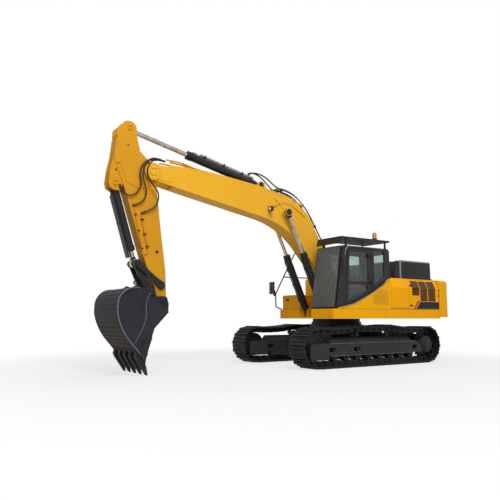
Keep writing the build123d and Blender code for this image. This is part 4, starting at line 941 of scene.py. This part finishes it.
def pin_ends(bm, x, y, z, radius):
    """Both ends of a pin in its bosses: a turned collar, the pin's face and a bolted keeper bar."""
    for turn in (1, -1):
        spot, out = at(x, turn * y, z), Vector((0, turn, 0))
        round_bar(bm, spot - out * 0.004, spot + out * 0.008, radius * 1.28, 32)
        round_bar(bm, spot, spot + out * 0.016, radius, 28, radius * 0.94)
        keeper = spot + Vector((0, turn * 0.016, radius * 0.75))
        slab(bm, keeper - Vector((radius * 0.85, 0.002, 0.016)), keeper + Vector((radius * 0.85, 0.006, 0.016)), 0.003)
        for shift in (-0.55, 0.55):
            bolt(bm, keeper + Vector((radius * shift, turn * 0.006, 0)), out, 0.010, 0.008)


def both_plates(bm, points, inner, outer):
    """The same plate on the left and on the right."""
    for turn in (1, -1):
        side_plate(bm, turn, points, inner, outer)


boom_plates, boom_pins, nose_bolts = bmesh.new(), bmesh.new(), bmesh.new()
for points, radius in ((((1.640, 3.560), (1.560, 3.900), (1.750, 4.310), (2.150, 4.420), (2.270, 4.250),
                         (2.150, 3.960), (1.900, 3.700)), 0.09),
                       (((5.320, 4.400), (5.420, 4.720), (5.640, 4.740), (5.700, 4.440)), 0.05),
                       (((0.180, 2.260), (0.620, 2.880), (0.760, 2.760), (0.400, 2.180)), 0.05)):
    both_plates(boom_plates, rounded(points, radius), BOOM_HALF - 0.001, BOOM_HALF + 0.008)
fitted("boom_doublers", boom_plates, boom_paint_with_painted_light, "boom")
for x, y, z, radius in ((1.990, 0.425, 4.030, 0.062), (2.710, 0.156, 4.720, 0.058), (0.150, 0.296, 2.000, 0.080)):
    pin_ends(boom_pins, x, y, z, radius)
fitted("boom_pin_ends", boom_pins, dark_paint, "boom")
pin_ends(nose_bolts, NOSE[0], 0.246, NOSE[1], 0.085)
for turn in (1, -1):
    for dx, dz in ring(12, 0.165):
        bolt(nose_bolts, at(NOSE[0] + dx, turn * 0.246, NOSE[1] + dz), (0, turn, 0), 0.011, 0.009)
fitted("nose_bolts", nose_bolts, boom_paint_with_painted_light, "boom")

# ---------------------------------------------------------------- boom lamp
# A round work lamp in a pressed shell on the boom's side, with a clear ribbed lens over a bright
# reflector.
finish(dark_paint, "boom_lamp")
lamp_glass = ribbed("lamp_glass", 40.0, "Y", (0.75, 0.76, 0.74), (0.92, 0.93, 0.92), 0.12, 0.4, 0.003, Metallic=0.6)
lens = bmesh.new()
lamp_low, lamp_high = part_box("boom_lamp")
lamp_mid = Vector((lamp_high[0], (lamp_high[1] + lamp_low[1]) / 2 + 0.030, (lamp_low[2] + lamp_high[2]) / 2))
round_bar(lens, lamp_mid - Vector((0.030, 0, 0)), lamp_mid + Vector((0.004, 0, 0)), 0.048, 28, 0.044)
fitted("boom_lamp_lens", lens, lamp_glass, "boom")

# ---------------------------------------------------------------- boom pipes and hoses
# Painted steel pipes run along the top plate to the nose, and rubber hoses carry the oil over
# the knee from the swivel beside the boom foot.
hose_rubber, tree, surface = blank_material("hose_rubber")
tone = grouped(tree, paint_tone, Scale=5.0, Grain=300.0)
wrap = texture(tree, "TexWave", Scale=60.0, Distortion=2.0)
feed(tree, surface, {"Base Color": mixed(tree, tone["Tone"], (0.010, 0.010, 0.010), (0.024, 0.023, 0.022)),
                     "Roughness": spread(tree, tone["Tone"], 0.15, 0.42), "Specular IOR Level": 0.3,
                     "Normal": bump(tree, wrap, 0.15, 0.002)})

knee_hoses = []
for i, y in enumerate((-0.150, -0.105, -0.060, 0.060, 0.105, 0.150)):
    lift = (0.0, 0.075, 0.030)[i % 3]
    knee_hoses.append((0.016, [(2.340, y, 4.540), (2.260, y, 4.590 + lift), (2.060, y, 4.660 + lift),
                               (1.620, y, 4.560 + lift), (1.290, y, 4.310 + lift), (1.080, y, 4.060 + lift),
                               (0.830, y * 0.9, 3.700 + lift), (0.520, y * 0.8, 3.230 + lift),
                               (0.240, y * 0.7, 2.880)]))
tubes("knee_hoses", knee_hoses, hose_rubber, "boom")
clamps = bmesh.new()
for x, z, lean in ((2.060, 4.610, 0.22), (1.330, 4.310, 0.75), (0.900, 3.770, 1.02), (0.560, 3.250, 1.05)):
    before = set(clamps.verts)
    slab(clamps, (-0.022, -0.185, 0.024), (0.022, 0.185, 0.046), 0.003)
    slab(clamps, (-0.022, -0.185, -0.060), (0.022, -0.174, 0.030), 0.003)
    slab(clamps, (-0.022, 0.174, -0.060), (0.022, 0.185, 0.030), 0.003)
    bmesh.ops.transform(clamps, matrix=Matrix.Translation(at(x, 0, z)) @ Matrix.Rotation(-lean, 4, "Y"),
                        verts=[vert for vert in clamps.verts if vert not in before])
fitted("knee_clamps", clamps, dark_paint, "boom")
tubes("boom_grease_lines",
      [(0.006, [(2.660, turn * 0.172, 4.640), (2.300, turn * 0.226, 4.380), (2.080, turn * 0.230, 4.150),
                (2.010, turn * 0.228, 4.070)]) for turn in (1, -1)]
      + [(0.006, [(2.520, 0.236, 4.080), (2.300, 0.226, 4.180), (2.050, 0.226, 4.300), (1.700, 0.226, 4.260),
                  (1.300, 0.226, 3.980)])],
      hose_rubber, "boom")

# the side plates stand a little proud of the top plate; four more pipes lie inside them
TOP_EDGE = ((5.420, 4.780), (4.900, 4.800), (3.720, 4.700), (2.800, 4.600), (1.840, 4.425))
edge_lips = bmesh.new()
both_plates(edge_lips, [(x, z - 0.010) for x, z in TOP_EDGE] + [(x, z + 0.036) for x, z in TOP_EDGE[::-1]],
            0.209, 0.2205)
fitted("boom_edge_lips", edge_lips, boom_paint_with_painted_light, "boom")
tubes("boom_inner_pipes",
      [(0.018, [(3.120, y, 4.690), (3.720, y, 4.760), (4.720, y, 4.840), (5.060, y, 4.905), (5.360, y, 4.915)])
       for y in (-0.125, 0.125)]
      + [(0.014, [(2.360, y, 4.560), (2.420, y, 4.600), (2.900, y, 4.655), (3.720, y, 4.745), (4.700, y, 4.830),
                  (5.020, y, 4.930), (5.360, y, 4.945)]) for y in (-0.205, 0.205)],
      boom_paint_with_painted_light, "boom")

# ---------------------------------------------------------------- crowd cylinder hoses
# Two hoses arch from the pipes behind the cylinder's foot to its base ports, slack enough for
# the cylinder to rock.


def bridging_hoses(name, routes):
    """Hoses that cross a joint, as one piece that rides on no body."""
    bm = bmesh.new()
    bm.from_mesh(swept(name, routes, resolution=7, capped=False))
    hoses = fitted(name, bm, hose_rubber, None, 1.2)
    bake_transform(hoses)


bridging_hoses("crowd_hoses", [
    (0.019, [(3.080, y, 4.930), (3.000, y, 5.020 + rise), (2.780, y * 1.4, 5.040 + rise),
             (2.520, y * 2.0, 4.960 + rise), (2.300, y * 2.4, 4.780 + rise), (2.120, y * 2.6, 4.690)])
    for y, rise in ((0.050, 0.0), (-0.050, 0.030))])

# ---------------------------------------------------------------- arm
# A tapering box of steel plate with a doubled head. Pins turn in bronze bushes, and a steel pipe
# and hoses run down its left side to the bucket cylinder.
ARM_HALF = 0.160
arm_plates, arm_pins, rocker_pivots, plugs = bmesh.new(), bmesh.new(), bmesh.new(), bmesh.new()
for points, radius in ((((5.740, 4.330), (5.870, 4.830), (6.180, 5.080), (6.480, 5.060), (6.620, 4.820),
                         (6.440, 4.280), (6.080, 4.160)), 0.10),
                       (((5.430, 1.640), (5.450, 2.250), (5.560, 2.420), (5.740, 2.340), (5.700, 2.050),
                         (5.600, 1.640)), 0.05)):
    both_plates(arm_plates, rounded(points, radius), ARM_HALF - 0.001, ARM_HALF + 0.008)
fitted("arm_doublers", arm_plates, arm_paint_with_painted_shade, "arm")
for x, z in ((6.380, 5.570), (6.690, 4.240)):
    pin_ends(arm_pins, x, 0.146, z, 0.052)
fitted("arm_pin_ends", arm_pins, arm_paint_with_painted_shade, "arm")
pin_ends(rocker_pivots, 5.550, 0.212, 1.980, 0.060)
fitted("rocker_pivot_pins", rocker_pivots, dark_paint, "arm")
for turn in (1, -1):
    for x, z in ((6.640, 4.700), (6.690, 4.540), (6.420, 5.150)):
        bolt(plugs, at(x, turn * 0.161, z), (0, turn, 0), 0.013)
    for x, z, radius in ((6.286, 4.877, 0.018), (5.660, 2.745, 0.036)):
        cross_bar(plugs, x, z, turn * 0.158, turn * 0.166, radius, 20)
fitted("arm_plugs", plugs, dark_paint, "arm")

# ---------------------------------------------------------------- arm pipes
# Bent steel pipes painted with the arm, held by saddle clamps, from the nose hoses to the
# bucket cylinder's far port.
tubes("arm_pipes",
      [(0.016, [(6.060, 0.182, 3.560), (6.010, 0.182, 3.300), (5.930, 0.182, 2.960), (5.880, 0.182, 2.760),
                (5.940, 0.182, 2.660), (6.050, 0.150, 2.690)]),
       (0.014, [(6.240, 0.176, 3.740), (6.180, 0.176, 3.420), (6.070, 0.176, 3.000), (5.990, 0.176, 2.620)])],
      arm_paint_with_painted_shade, "arm")
saddles = bmesh.new()
for x, z in ((6.040, 3.460), (5.975, 3.130), (5.905, 2.850)):
    slab(saddles, at(x - 0.036, 0.158, z - 0.018), at(x + 0.036, 0.206, z + 0.018), 0.006)
    for shift in (-0.026, 0.026):
        bolt(saddles, at(x + shift, 0.206, z), (0, 1, 0), 0.008, 0.006)
for x, z in ((6.205, 3.560), (6.120, 3.200), (6.030, 2.800)):
    slab(saddles, at(x - 0.028, 0.158, z - 0.014), at(x + 0.028, 0.196, z + 0.014), 0.005)
fitted("arm_saddles", saddles, dark_paint, "arm")

# ---------------------------------------------------------------- nose hoses
# Four rubber hoses bridge the joint between boom and arm in slack loops, long enough for the
# arm's whole swing, each with a crimped steel ferrule at the arm.
bridging_hoses("nose_hoses", [(0.017, route) for route in (
    [(5.500, 0.185, 4.900), (5.760, 0.200, 4.960), (5.960, 0.215, 4.860), (6.120, 0.225, 4.700),
     (6.150, 0.230, 4.480), (6.090, 0.225, 4.260), (6.230, 0.215, 4.010), (6.420, 0.200, 3.960),
     (6.560, 0.190, 4.080), (6.600, 0.180, 4.200)],
    [(5.500, 0.150, 4.900), (5.780, 0.190, 4.930), (5.990, 0.230, 4.800), (6.090, 0.245, 4.600),
     (6.060, 0.250, 4.350), (5.960, 0.240, 4.080), (6.060, 0.220, 3.860), (6.200, 0.200, 3.790),
     (6.280, 0.185, 3.770)],
    [(5.500, -0.185, 4.900), (5.780, -0.205, 4.950), (6.000, -0.225, 4.830), (6.110, -0.235, 4.620),
     (6.080, -0.235, 4.360), (6.040, -0.225, 4.060), (6.200, -0.210, 3.860), (6.330, -0.190, 3.840)],
    [(5.520, 0.120, 4.930), (5.800, 0.215, 4.900), (5.960, 0.270, 4.740), (6.000, 0.280, 4.540),
     (5.900, 0.275, 4.330), (5.740, 0.265, 4.200), (5.670, 0.250, 4.010), (5.730, 0.230, 3.790),
     (5.900, 0.205, 3.680), (6.070, 0.185, 3.600)])])
ferrules = bmesh.new()
for start, end in (((6.545, 0.193, 4.060), (6.600, 0.180, 4.210)), ((6.200, 0.200, 3.790), (6.290, 0.184, 3.768)),
                   ((6.250, -0.202, 3.850), (6.335, -0.189, 3.838)), ((5.990, 0.195, 3.645), (6.075, 0.184, 3.596))):
    round_bar(ferrules, at(*start), at(*end), 0.022, 12)
fitted("hose_ferrules", ferrules, dark_paint, "arm")

# ---------------------------------------------------------------- hydraulic cylinders
# Honed steel tube with a welded crown and a bolted gland, sprayed black; the rod is ground and
# hard-chromed. Steel pipes clipped along the tube feed the gland end.
barrel_paint = painted_steel("barrel_paint", (0.018, 0.018, 0.019), (0.028, 0.027, 0.026), roughness=0.32,
                             coat=0.02, rubbed=0.18, dust=0.06, ceiling=6.0, shine=0.14)
finish(barrel_paint, "lift_barrels", "crowd_barrel", "curl_barrel")
pipe_paint = painted_steel("pipe_paint", (0.600, 0.590, 0.580), (0.680, 0.670, 0.660), roughness=0.30,
                           coat=0.05, edge=0.004, dust=0.10, ceiling=6.0, shine=0.40)
chrome, tree, surface = blank_material("chrome")
oil = ramp(tree, texture(tree, "TexNoise", Scale=9.0, Detail=6.0, Roughness=0.7), 0.42, 0.68)
feed(tree, surface, {"Base Color": mixed(tree, oil, (0.48, 0.42, 0.36), (0.30, 0.24, 0.18)), "Metallic": 1.0,
                     "Roughness": spread(tree, oil, 0.20, 0.14)})
finish(chrome, "lift_rods", "crowd_rod", "curl_rod")
across = Vector((0, 1, 0))
CURL_BASE, CURL_EYE = (6.690, 4.240), (6.140, 2.460)


def ram_axes(base, eye, lean):
    """The cylinder's direction, and the one square to it, forward (lean 1) or back (-1)."""
    axis = (at(eye[0], 0, eye[1]) - at(base[0], 0, base[1])).normalized()
    square = Vector((axis.z, 0, -axis.x))
    return axis, square * lean * math.copysign(1, square.x)


# name, bodies of barrel and rod, base pin, rod pin, centre lines, radii, barrel length, side the
# pipes lie on; pipe radius and stand-off, clip radius, pipe finish
RAMS = (("lift", "lift_barrels", "lift_rods", (0.760, 1.400), (1.990, 4.030), (0.365, -0.365), 0.092, 0.052,
         1.730, 1, 0.014, 0.016, 0.020, barrel_paint),
        ("crowd", "crowd_barrel", "crowd_rod", (2.710, 4.720), (6.380, 5.570), (0.0,), 0.100, 0.058,
         2.190, -1, 0.024, 0.050, 0.032, pipe_paint),
        ("curl", "curl_barrel", "curl_rod", CURL_BASE, CURL_EYE, (0.0,), 0.092, 0.052,
         1.560, 1, 0.014, 0.016, 0.020, barrel_paint))
for (name, barrel_body, rod_body, base, eye, centres, barrel_r, rod_r, length, lean, pipe_r, stand_off, clip_r,
     pipe_finish) in RAMS:
    gland, pipes, rod_eyes = bmesh.new(), [], bmesh.new()
    axis, upward = ram_axes(base, eye, lean)
    for y in centres:
        middle, end = at(base[0], y, base[1]), at(eye[0], y, eye[1])
        tip = middle + axis * length
        for i in range(12):
            turn = math.tau * (i + 0.5) / 12
            out = upward * math.cos(turn) + across * math.sin(turn)
            bolt(gland, tip + out * (barrel_r - 0.012), axis, 0.010)
        round_bar(gland, tip, tip + axis * 0.014, rod_r + 0.014, 28, rod_r + 0.004)
        round_bar(gland, tip - axis * 0.112, tip - axis * 0.086, barrel_r + 0.014, 32)
        for share in (0.26, 0.52, 0.78):
            band = middle + axis * (length * share)
            round_bar(gland, band - axis * 0.016, band + axis * 0.016, barrel_r + 0.004, 32)
            for shift in (-0.034, 0.034):
                spot = band + upward * (barrel_r + stand_off - 0.004) + across * shift
                round_bar(gland, spot - axis * 0.014, spot + axis * 0.014, clip_r, 10)
                slab(gland, spot - Vector((0.012, 0.012, 0.060)), spot + Vector((0.012, 0.012, 0.0)))
        for shift, reach in ((-0.034, length - 0.150), (0.034, length * 0.86)):
            lay = upward * (barrel_r + stand_off) + across * shift
            rooted = upward * (barrel_r - 0.010) + across * shift
            foot = middle + axis * 0.200
            route = [foot + rooted, foot + lay, foot + axis * 0.100 + lay, middle + axis * (reach - 0.120) + lay,
                     middle + axis * reach + lay, middle + axis * (reach + 0.020) + rooted - across * shift * 0.4]
            pipes.append((pipe_r, [spot - at(0, 0, 0) for spot in route]))
        for share in (0.115, 0.93):
            port = middle + axis * (length * share) + upward * (barrel_r - 0.006)
            round_bar(gland, port, port + upward * 0.030, 0.034, 16, 0.028)
        for turn in (across, -across):
            face = end + turn * 0.0555
            round_bar(rod_eyes, face - turn * 0.004, face + turn * 0.001, rod_r + 0.030, 28)
        nipple = end + axis * (rod_r + 0.043)
        round_bar(rod_eyes, nipple, nipple + axis * 0.014, 0.007, 8)
        neck = end - axis * (rod_r + 0.052)
        round_bar(rod_eyes, neck - axis * 0.050, neck + axis * 0.010, rod_r + 0.004, 24, rod_r + 0.020)
    fitted(f"{name}_gland", gland, barrel_paint, barrel_body)
    fitted(f"{name}_rod_eyes", rod_eyes, barrel_paint, rod_body)
    tubes(f"{name}_pipes", pipes, pipe_finish, barrel_body)

# ---------------------------------------------------------------- rod guard
# A folded steel channel bolted along the bucket cylinder keeps stones off it. It is sprayed
# black with the barrel and rides on it.
guard = bmesh.new()
axis, ahead = ram_axes(CURL_BASE, CURL_EYE, 1)
base = at(CURL_BASE[0], 0, CURL_BASE[1])
along_ram = Matrix(((axis.x, 0, ahead.x, base.x), (0, 1, 0, 0), (axis.z, 0, ahead.z, base.z), (0, 0, 0, 1)))
for foot, low, high in ((0.118, -0.072, 0.072), (0.092, -0.084, -0.072), (0.092, 0.072, 0.084)):
    prism(guard, oblong(0.250, 1.700, foot, 0.130), low, high, along_ram)
for reach in (0.420, 0.900, 1.400):
    for y in (-0.045, 0.045):
        bolt(guard, along_ram @ Vector((reach, y, 0.130)), ahead, 0.011, 0.008)
fitted("rod_guard", guard, barrel_paint, "curl_barrel")

# ---------------------------------------------------------------- bucket linkage
# Two flame-cut rockers and a box link, black, with hardened pins; the link carries a forged
# lifting eye.
finish(barrel_paint, "bucket_link", "lifting_eye")
ROCKER_FOOT, KNUCKLE, LINK_FOOT = Vector((5.550, 1.980)), Vector((6.140, 2.460)), Vector((5.820, 1.800))
along = (KNUCKLE - ROCKER_FOOT).normalized()
aside = Vector((-along.y, along.x))
waisted = []
for start, end, radius, first, flank in ((ROCKER_FOOT, KNUCKLE, 0.095, 60, -1),
                                         (KNUCKLE, ROCKER_FOOT, 0.088, -120, 1)):
    for i in range(17):
        swing = math.radians(first + i * 15)
        waisted.append(start + (along * math.cos(swing) + aside * math.sin(swing)) * radius)
    waisted += [start.lerp(end, share) + aside * flank * 0.060 for share in (0.32, 0.50, 0.68)]
plates, rocker_pins, link_bosses = bmesh.new(), bmesh.new(), bmesh.new()
both_plates(plates, waisted, 0.175, 0.210)
rocker_plates = fitted("rocker_plates", plates, barrel_paint, "rockers")
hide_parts("rockers")
pin_ends(rocker_pins, KNUCKLE.x, 0.211, KNUCKLE.y, 0.052)
for turn in (1, -1):
    for share in (0.30, 0.70):
        cross_bar(rocker_pins, *ROCKER_FOOT.lerp(KNUCKLE, share), turn * 0.206, turn * 0.212, 0.030, 20)
    cross_bar(link_bosses, *LINK_FOOT, turn * 0.165, turn * 0.232, 0.092, 30)
    for share in (0.25, 0.75):
        cross_bar(link_bosses, *LINK_FOOT.lerp(KNUCKLE, share), turn * 0.165, turn * 0.169, 0.045, 20)
fitted("rocker_pins", rocker_pins, barrel_paint, "rockers")
fitted("link_bosses", link_bosses, barrel_paint, "bucket_link")

# ---------------------------------------------------------------- bucket
# Rolled wear-resistant plate with cast side plates, painted black; the back and the floor turn brown
# in streaks, more so towards the bottom.
BUCKET_HALF = 0.720
RIDGES = 14

bucket_steel, tree, surface = blank_material("bucket_steel")
edges = grouped(tree, plate_edges, Breakup=12.0)
tone = grouped(tree, paint_tone, Scale=1.6, Grain=70.0)
film = grouped(tree, settled_dust, Ceiling=1.6, Amount=0.08)
place = step(tree, "TexCoord").outputs["Object"]
height = step(tree, "SeparateXYZ", {0: place}).outputs["Z"]
drawn_out = step(tree, "Mapping", {0: place, 3: (1.2, 14.0, 1.2)}).outputs[0]
streaks = texture(tree, "TexNoise", Vector=drawn_out, Scale=1.5, Detail=8.0, Roughness=0.65)
off_side = maths(tree, "SUBTRACT", 1.0, maths(tree, "ABSOLUTE", facing(tree, "Y")), True)
low_back = maths(tree, "MULTIPLY", ramp(tree, height, 2.00, 0.70), off_side)
# browner in streaks towards the bottom of the back and the floor
brown_streak_mask = maths(tree, "MULTIPLY", maths(tree, "ADD", ramp(tree, streaks, 0.35, 0.75), 0.35), low_back, True)
paint = mixed(tree, tone["Tone"], (0.022, 0.024, 0.030), (0.034, 0.036, 0.044))
brown = mixed(tree, streaks, (0.016, 0.011, 0.006), (0.052, 0.033, 0.017))
bright = maths(tree, "MULTIPLY", edges["Rubbed"], 0.45)
shown = mixed(tree, bright, mixed(tree, brown_streak_mask, paint, brown), (0.24, 0.235, 0.225))
feed(tree, surface, {"Base Color": mixed(tree, film["Dust"], shown, ROAD_DUST), "Specular IOR Level": 0.08,
                     "Roughness": spread(tree, streaks, 0.25, 0.44),
                     "Normal": bump(tree, streaks, 0.20, 0.004, edges["Normal"])})
finish(bucket_steel, "bucket", "bucket_teeth")


def arc_through(start, middle, end, steps):
    """Points on the circle through three (x, z) points, for an arc of less than half a turn."""
    a, b, c = complex(*start), complex(*middle), complex(*end)
    share = (c - a) / (b - a)
    centre = a + (b - a) * (share - abs(share) ** 2) / (share - share.conjugate())
    span = cmath.phase((c - centre) / (a - centre))
    spots = [centre + (a - centre) * cmath.rect(1, span * i / steps) for i in range(steps + 1)]
    return [(spot.real, spot.imag) for spot in spots]


# the outside of the bucket's back, from the lid round the heel to the lip
BACK = (arc_through((6.310, 1.880), (6.610, 1.820), (6.775, 1.540), 8)
        + arc_through((6.775, 1.340), (6.655, 1.000), (6.445, 0.705), 10) + [(6.160, 0.370)])
ridges = bmesh.new()
lengths = [math.dist(a, b) for a, b in zip(BACK, BACK[1:])]
for i in range(RIDGES):
    left = sum(lengths) * (0.16 + 0.70 * i / (RIDGES - 1))
    for a, b, length in zip(BACK, BACK[1:], lengths):
        if left <= length:
            break
        left -= length
    run = (Vector(b) - Vector(a)) / length
    spot = Vector(a) + run * left
    outward = Vector((-run.y, run.x))
    outward *= math.copysign(1, 2 * outward.x - outward.y)
    outlined(ridges, [spot + run * shift + outward * proud for shift, proud in
                      ((-0.016, -0.004), (-0.012, 0.012), (0.012, 0.012), (0.016, -0.004))],
             0.035 - BUCKET_HALF, BUCKET_HALF - 0.035)
fitted("bucket_wear_strips", ridges, bucket_steel, "bucket")

bucket_sides, bucket_pins, beads = bmesh.new(), bmesh.new(), []
inner = inset_outline(BACK + [(5.990, 0.820), (5.930, 1.010), (5.620, 1.410)], 0.050)
CHEEK = rounded(((5.960, 0.990), (5.830, 1.150), (5.660, 1.400), (5.990, 1.640), (6.230, 1.640),
                 (6.200, 1.260), (6.320, 0.700), (6.230, 0.590)), 0.05)
for turn in (1, -1):
    for a, b, c, d in zip(BACK, BACK[1:], inner[1:], inner):
        side_plate(bucket_sides, turn, [a, b, c, d], BUCKET_HALF - 0.002, BUCKET_HALF + 0.012)
    side_plate(bucket_sides, turn, CHEEK, BUCKET_HALF - 0.002, BUCKET_HALF + 0.010)
    for x, z in ((6.115, 0.470), (6.165, 0.560), (6.085, 0.640), (6.055, 0.760)):
        bolt(bucket_sides, at(x, turn * (BUCKET_HALF + 0.030), z), (0, turn, 0), 0.020, 0.014)
    for radius, points in ((0.011, BACK), (0.007, ((6.040, 1.780), (6.110, 1.680), (6.150, 1.500), (6.120, 1.260),
                                                   (6.200, 1.030), (6.310, 0.830), (6.370, 0.700)))):
        beads.append((radius, [(x, turn * (BUCKET_HALF + 0.012), z) for x, z in points]))
fitted("bucket_side_plates", bucket_sides, bucket_steel, "bucket")
# the beads along the side plates' rim and weld are pale grey as painted highlight on the black steel
rim_painted_highlight = painted_steel("rim_painted_highlight", (0.130, 0.135, 0.150), (0.190, 0.195, 0.210), roughness=0.38,
                          edge=0.004, rubbed=0.20, ceiling=1.6, shine=0.25)
tubes("bucket_weld_beads", beads, rim_painted_highlight, "bucket")
for x, z, radius in ((5.520, 1.580, 0.062), (5.820, 1.800, 0.056)):
    pin_ends(bucket_pins, x, 0.296, z, radius)
for i in range(5):
    y = (i - 2) * 0.310
    for turn in (1, -1):
        cross_bar(bucket_pins, 6.215, 0.330, y + turn * 0.046, y + turn * 0.066, 0.020, 14)
fitted("bucket_pins", bucket_pins, bucket_steel, "bucket")

# ---------------------------------------------------------------- ground, camera and lamps
# A pale floor that runs into a white surround, a camera at the height of a standing person's
# chest at the machine's front left, and broad lamps at a plain level.
CAMERA_SPOT = (9.305, 11.948, 1.237)
CAMERA_YAW = math.radians(-124.0)
CAMERA_PITCH = math.radians(6.93)
CAMERA_LENS = 40.23
FLOOR_HALF = 60

scene = bpy.context.scene
scene.view_settings.view_transform = "Standard"
camera = bpy.data.objects.new("camera", bpy.data.cameras.new("camera"))
camera.data.lens = CAMERA_LENS
camera.data.sensor_width = 36.0
camera.data.clip_end = 400.0
camera.location = CAMERA_SPOT
look = Vector((math.cos(CAMERA_PITCH) * math.cos(CAMERA_YAW),
               math.cos(CAMERA_PITCH) * math.sin(CAMERA_YAW), math.sin(CAMERA_PITCH)))
camera.rotation_euler = look.to_track_quat("-Z", "Y").to_euler()
scene.collection.objects.link(camera)
scene.camera = camera


def background_rays(tree):
    """1 for the rays that see the surround: from the camera, through glass or off gloss."""
    rays = step(tree, "LightPath").outputs
    direct = maths(tree, "ADD", rays["Is Camera Ray"], rays["Is Transmission Ray"], True)
    return maths(tree, "ADD", direct, rays["Is Glossy Ray"], True)


world = bpy.data.worlds.new("studio")
world.use_nodes = True
scene.world = world
tree = world.node_tree
tree.nodes.clear()
fill = step(tree, "Background", {"Color": (0.93, 0.96, 1.0), "Strength": 0.52})
white = step(tree, "Background", {"Color": (1, 1, 1), "Strength": 1.0})
surround = step(tree, "MixShader", {0: background_rays(tree), 1: fill.outputs[0], 2: white.outputs[0]})
step(tree, "OutputWorld", {"Surface": surround.outputs[0]})

for name, spot, size, watts in (("key_lamp", (6.0, 12.5, 17.0), 9.0, 2950.0),
                                ("rear_lamp", (-14.0, -8.0, 12.0), 9.0, 1000.0)):
    lamp = bpy.data.objects.new(name, bpy.data.lights.new(name, "AREA"))
    lamp.data.energy = watts
    lamp.data.size = size
    lamp.location = spot
    lamp.rotation_euler = (Vector((0.0, 0.0, 1.5)) - Vector(spot)).to_track_quat("-Z", "Y").to_euler()
    scene.collection.objects.link(lamp)

floor_mesh = bpy.data.meshes.new("floor")
floor_mesh.from_pydata([(x * FLOOR_HALF, y * FLOOR_HALF, 0) for x, y in ((-1, -1), (1, -1), (1, 1), (-1, 1))],
                       [], [(0, 1, 2, 3)])
floor = bpy.data.objects.new("floor", floor_mesh)
scene.collection.objects.link(floor)
floor_paint, tree, surface = blank_material("floor")
feed(tree, surface, {"Base Color": (0.58, 0.58, 0.58), "Roughness": 1.0, "Specular IOR Level": 0.0})
away = step(tree, "VectorMath", {0: step(tree, "NewGeometry").outputs["Position"]}, operation="LENGTH")
paler = spread(tree, ramp(tree, away.outputs["Value"], 5.5, 10.0), 0.30, 0.70)
glow = step(tree, "Emission", {"Color": (1, 1, 1), "Strength": 1.0})
shown = step(tree, "MixShader", {0: maths(tree, "MULTIPLY", paler, background_rays(tree)), 1: surface.outputs[0],
                                 2: glow.outputs[0]})
feed(tree, tree.nodes["Material Output"], {"Surface": shown.outputs[0]})
floor_mesh.materials.append(floor_paint)
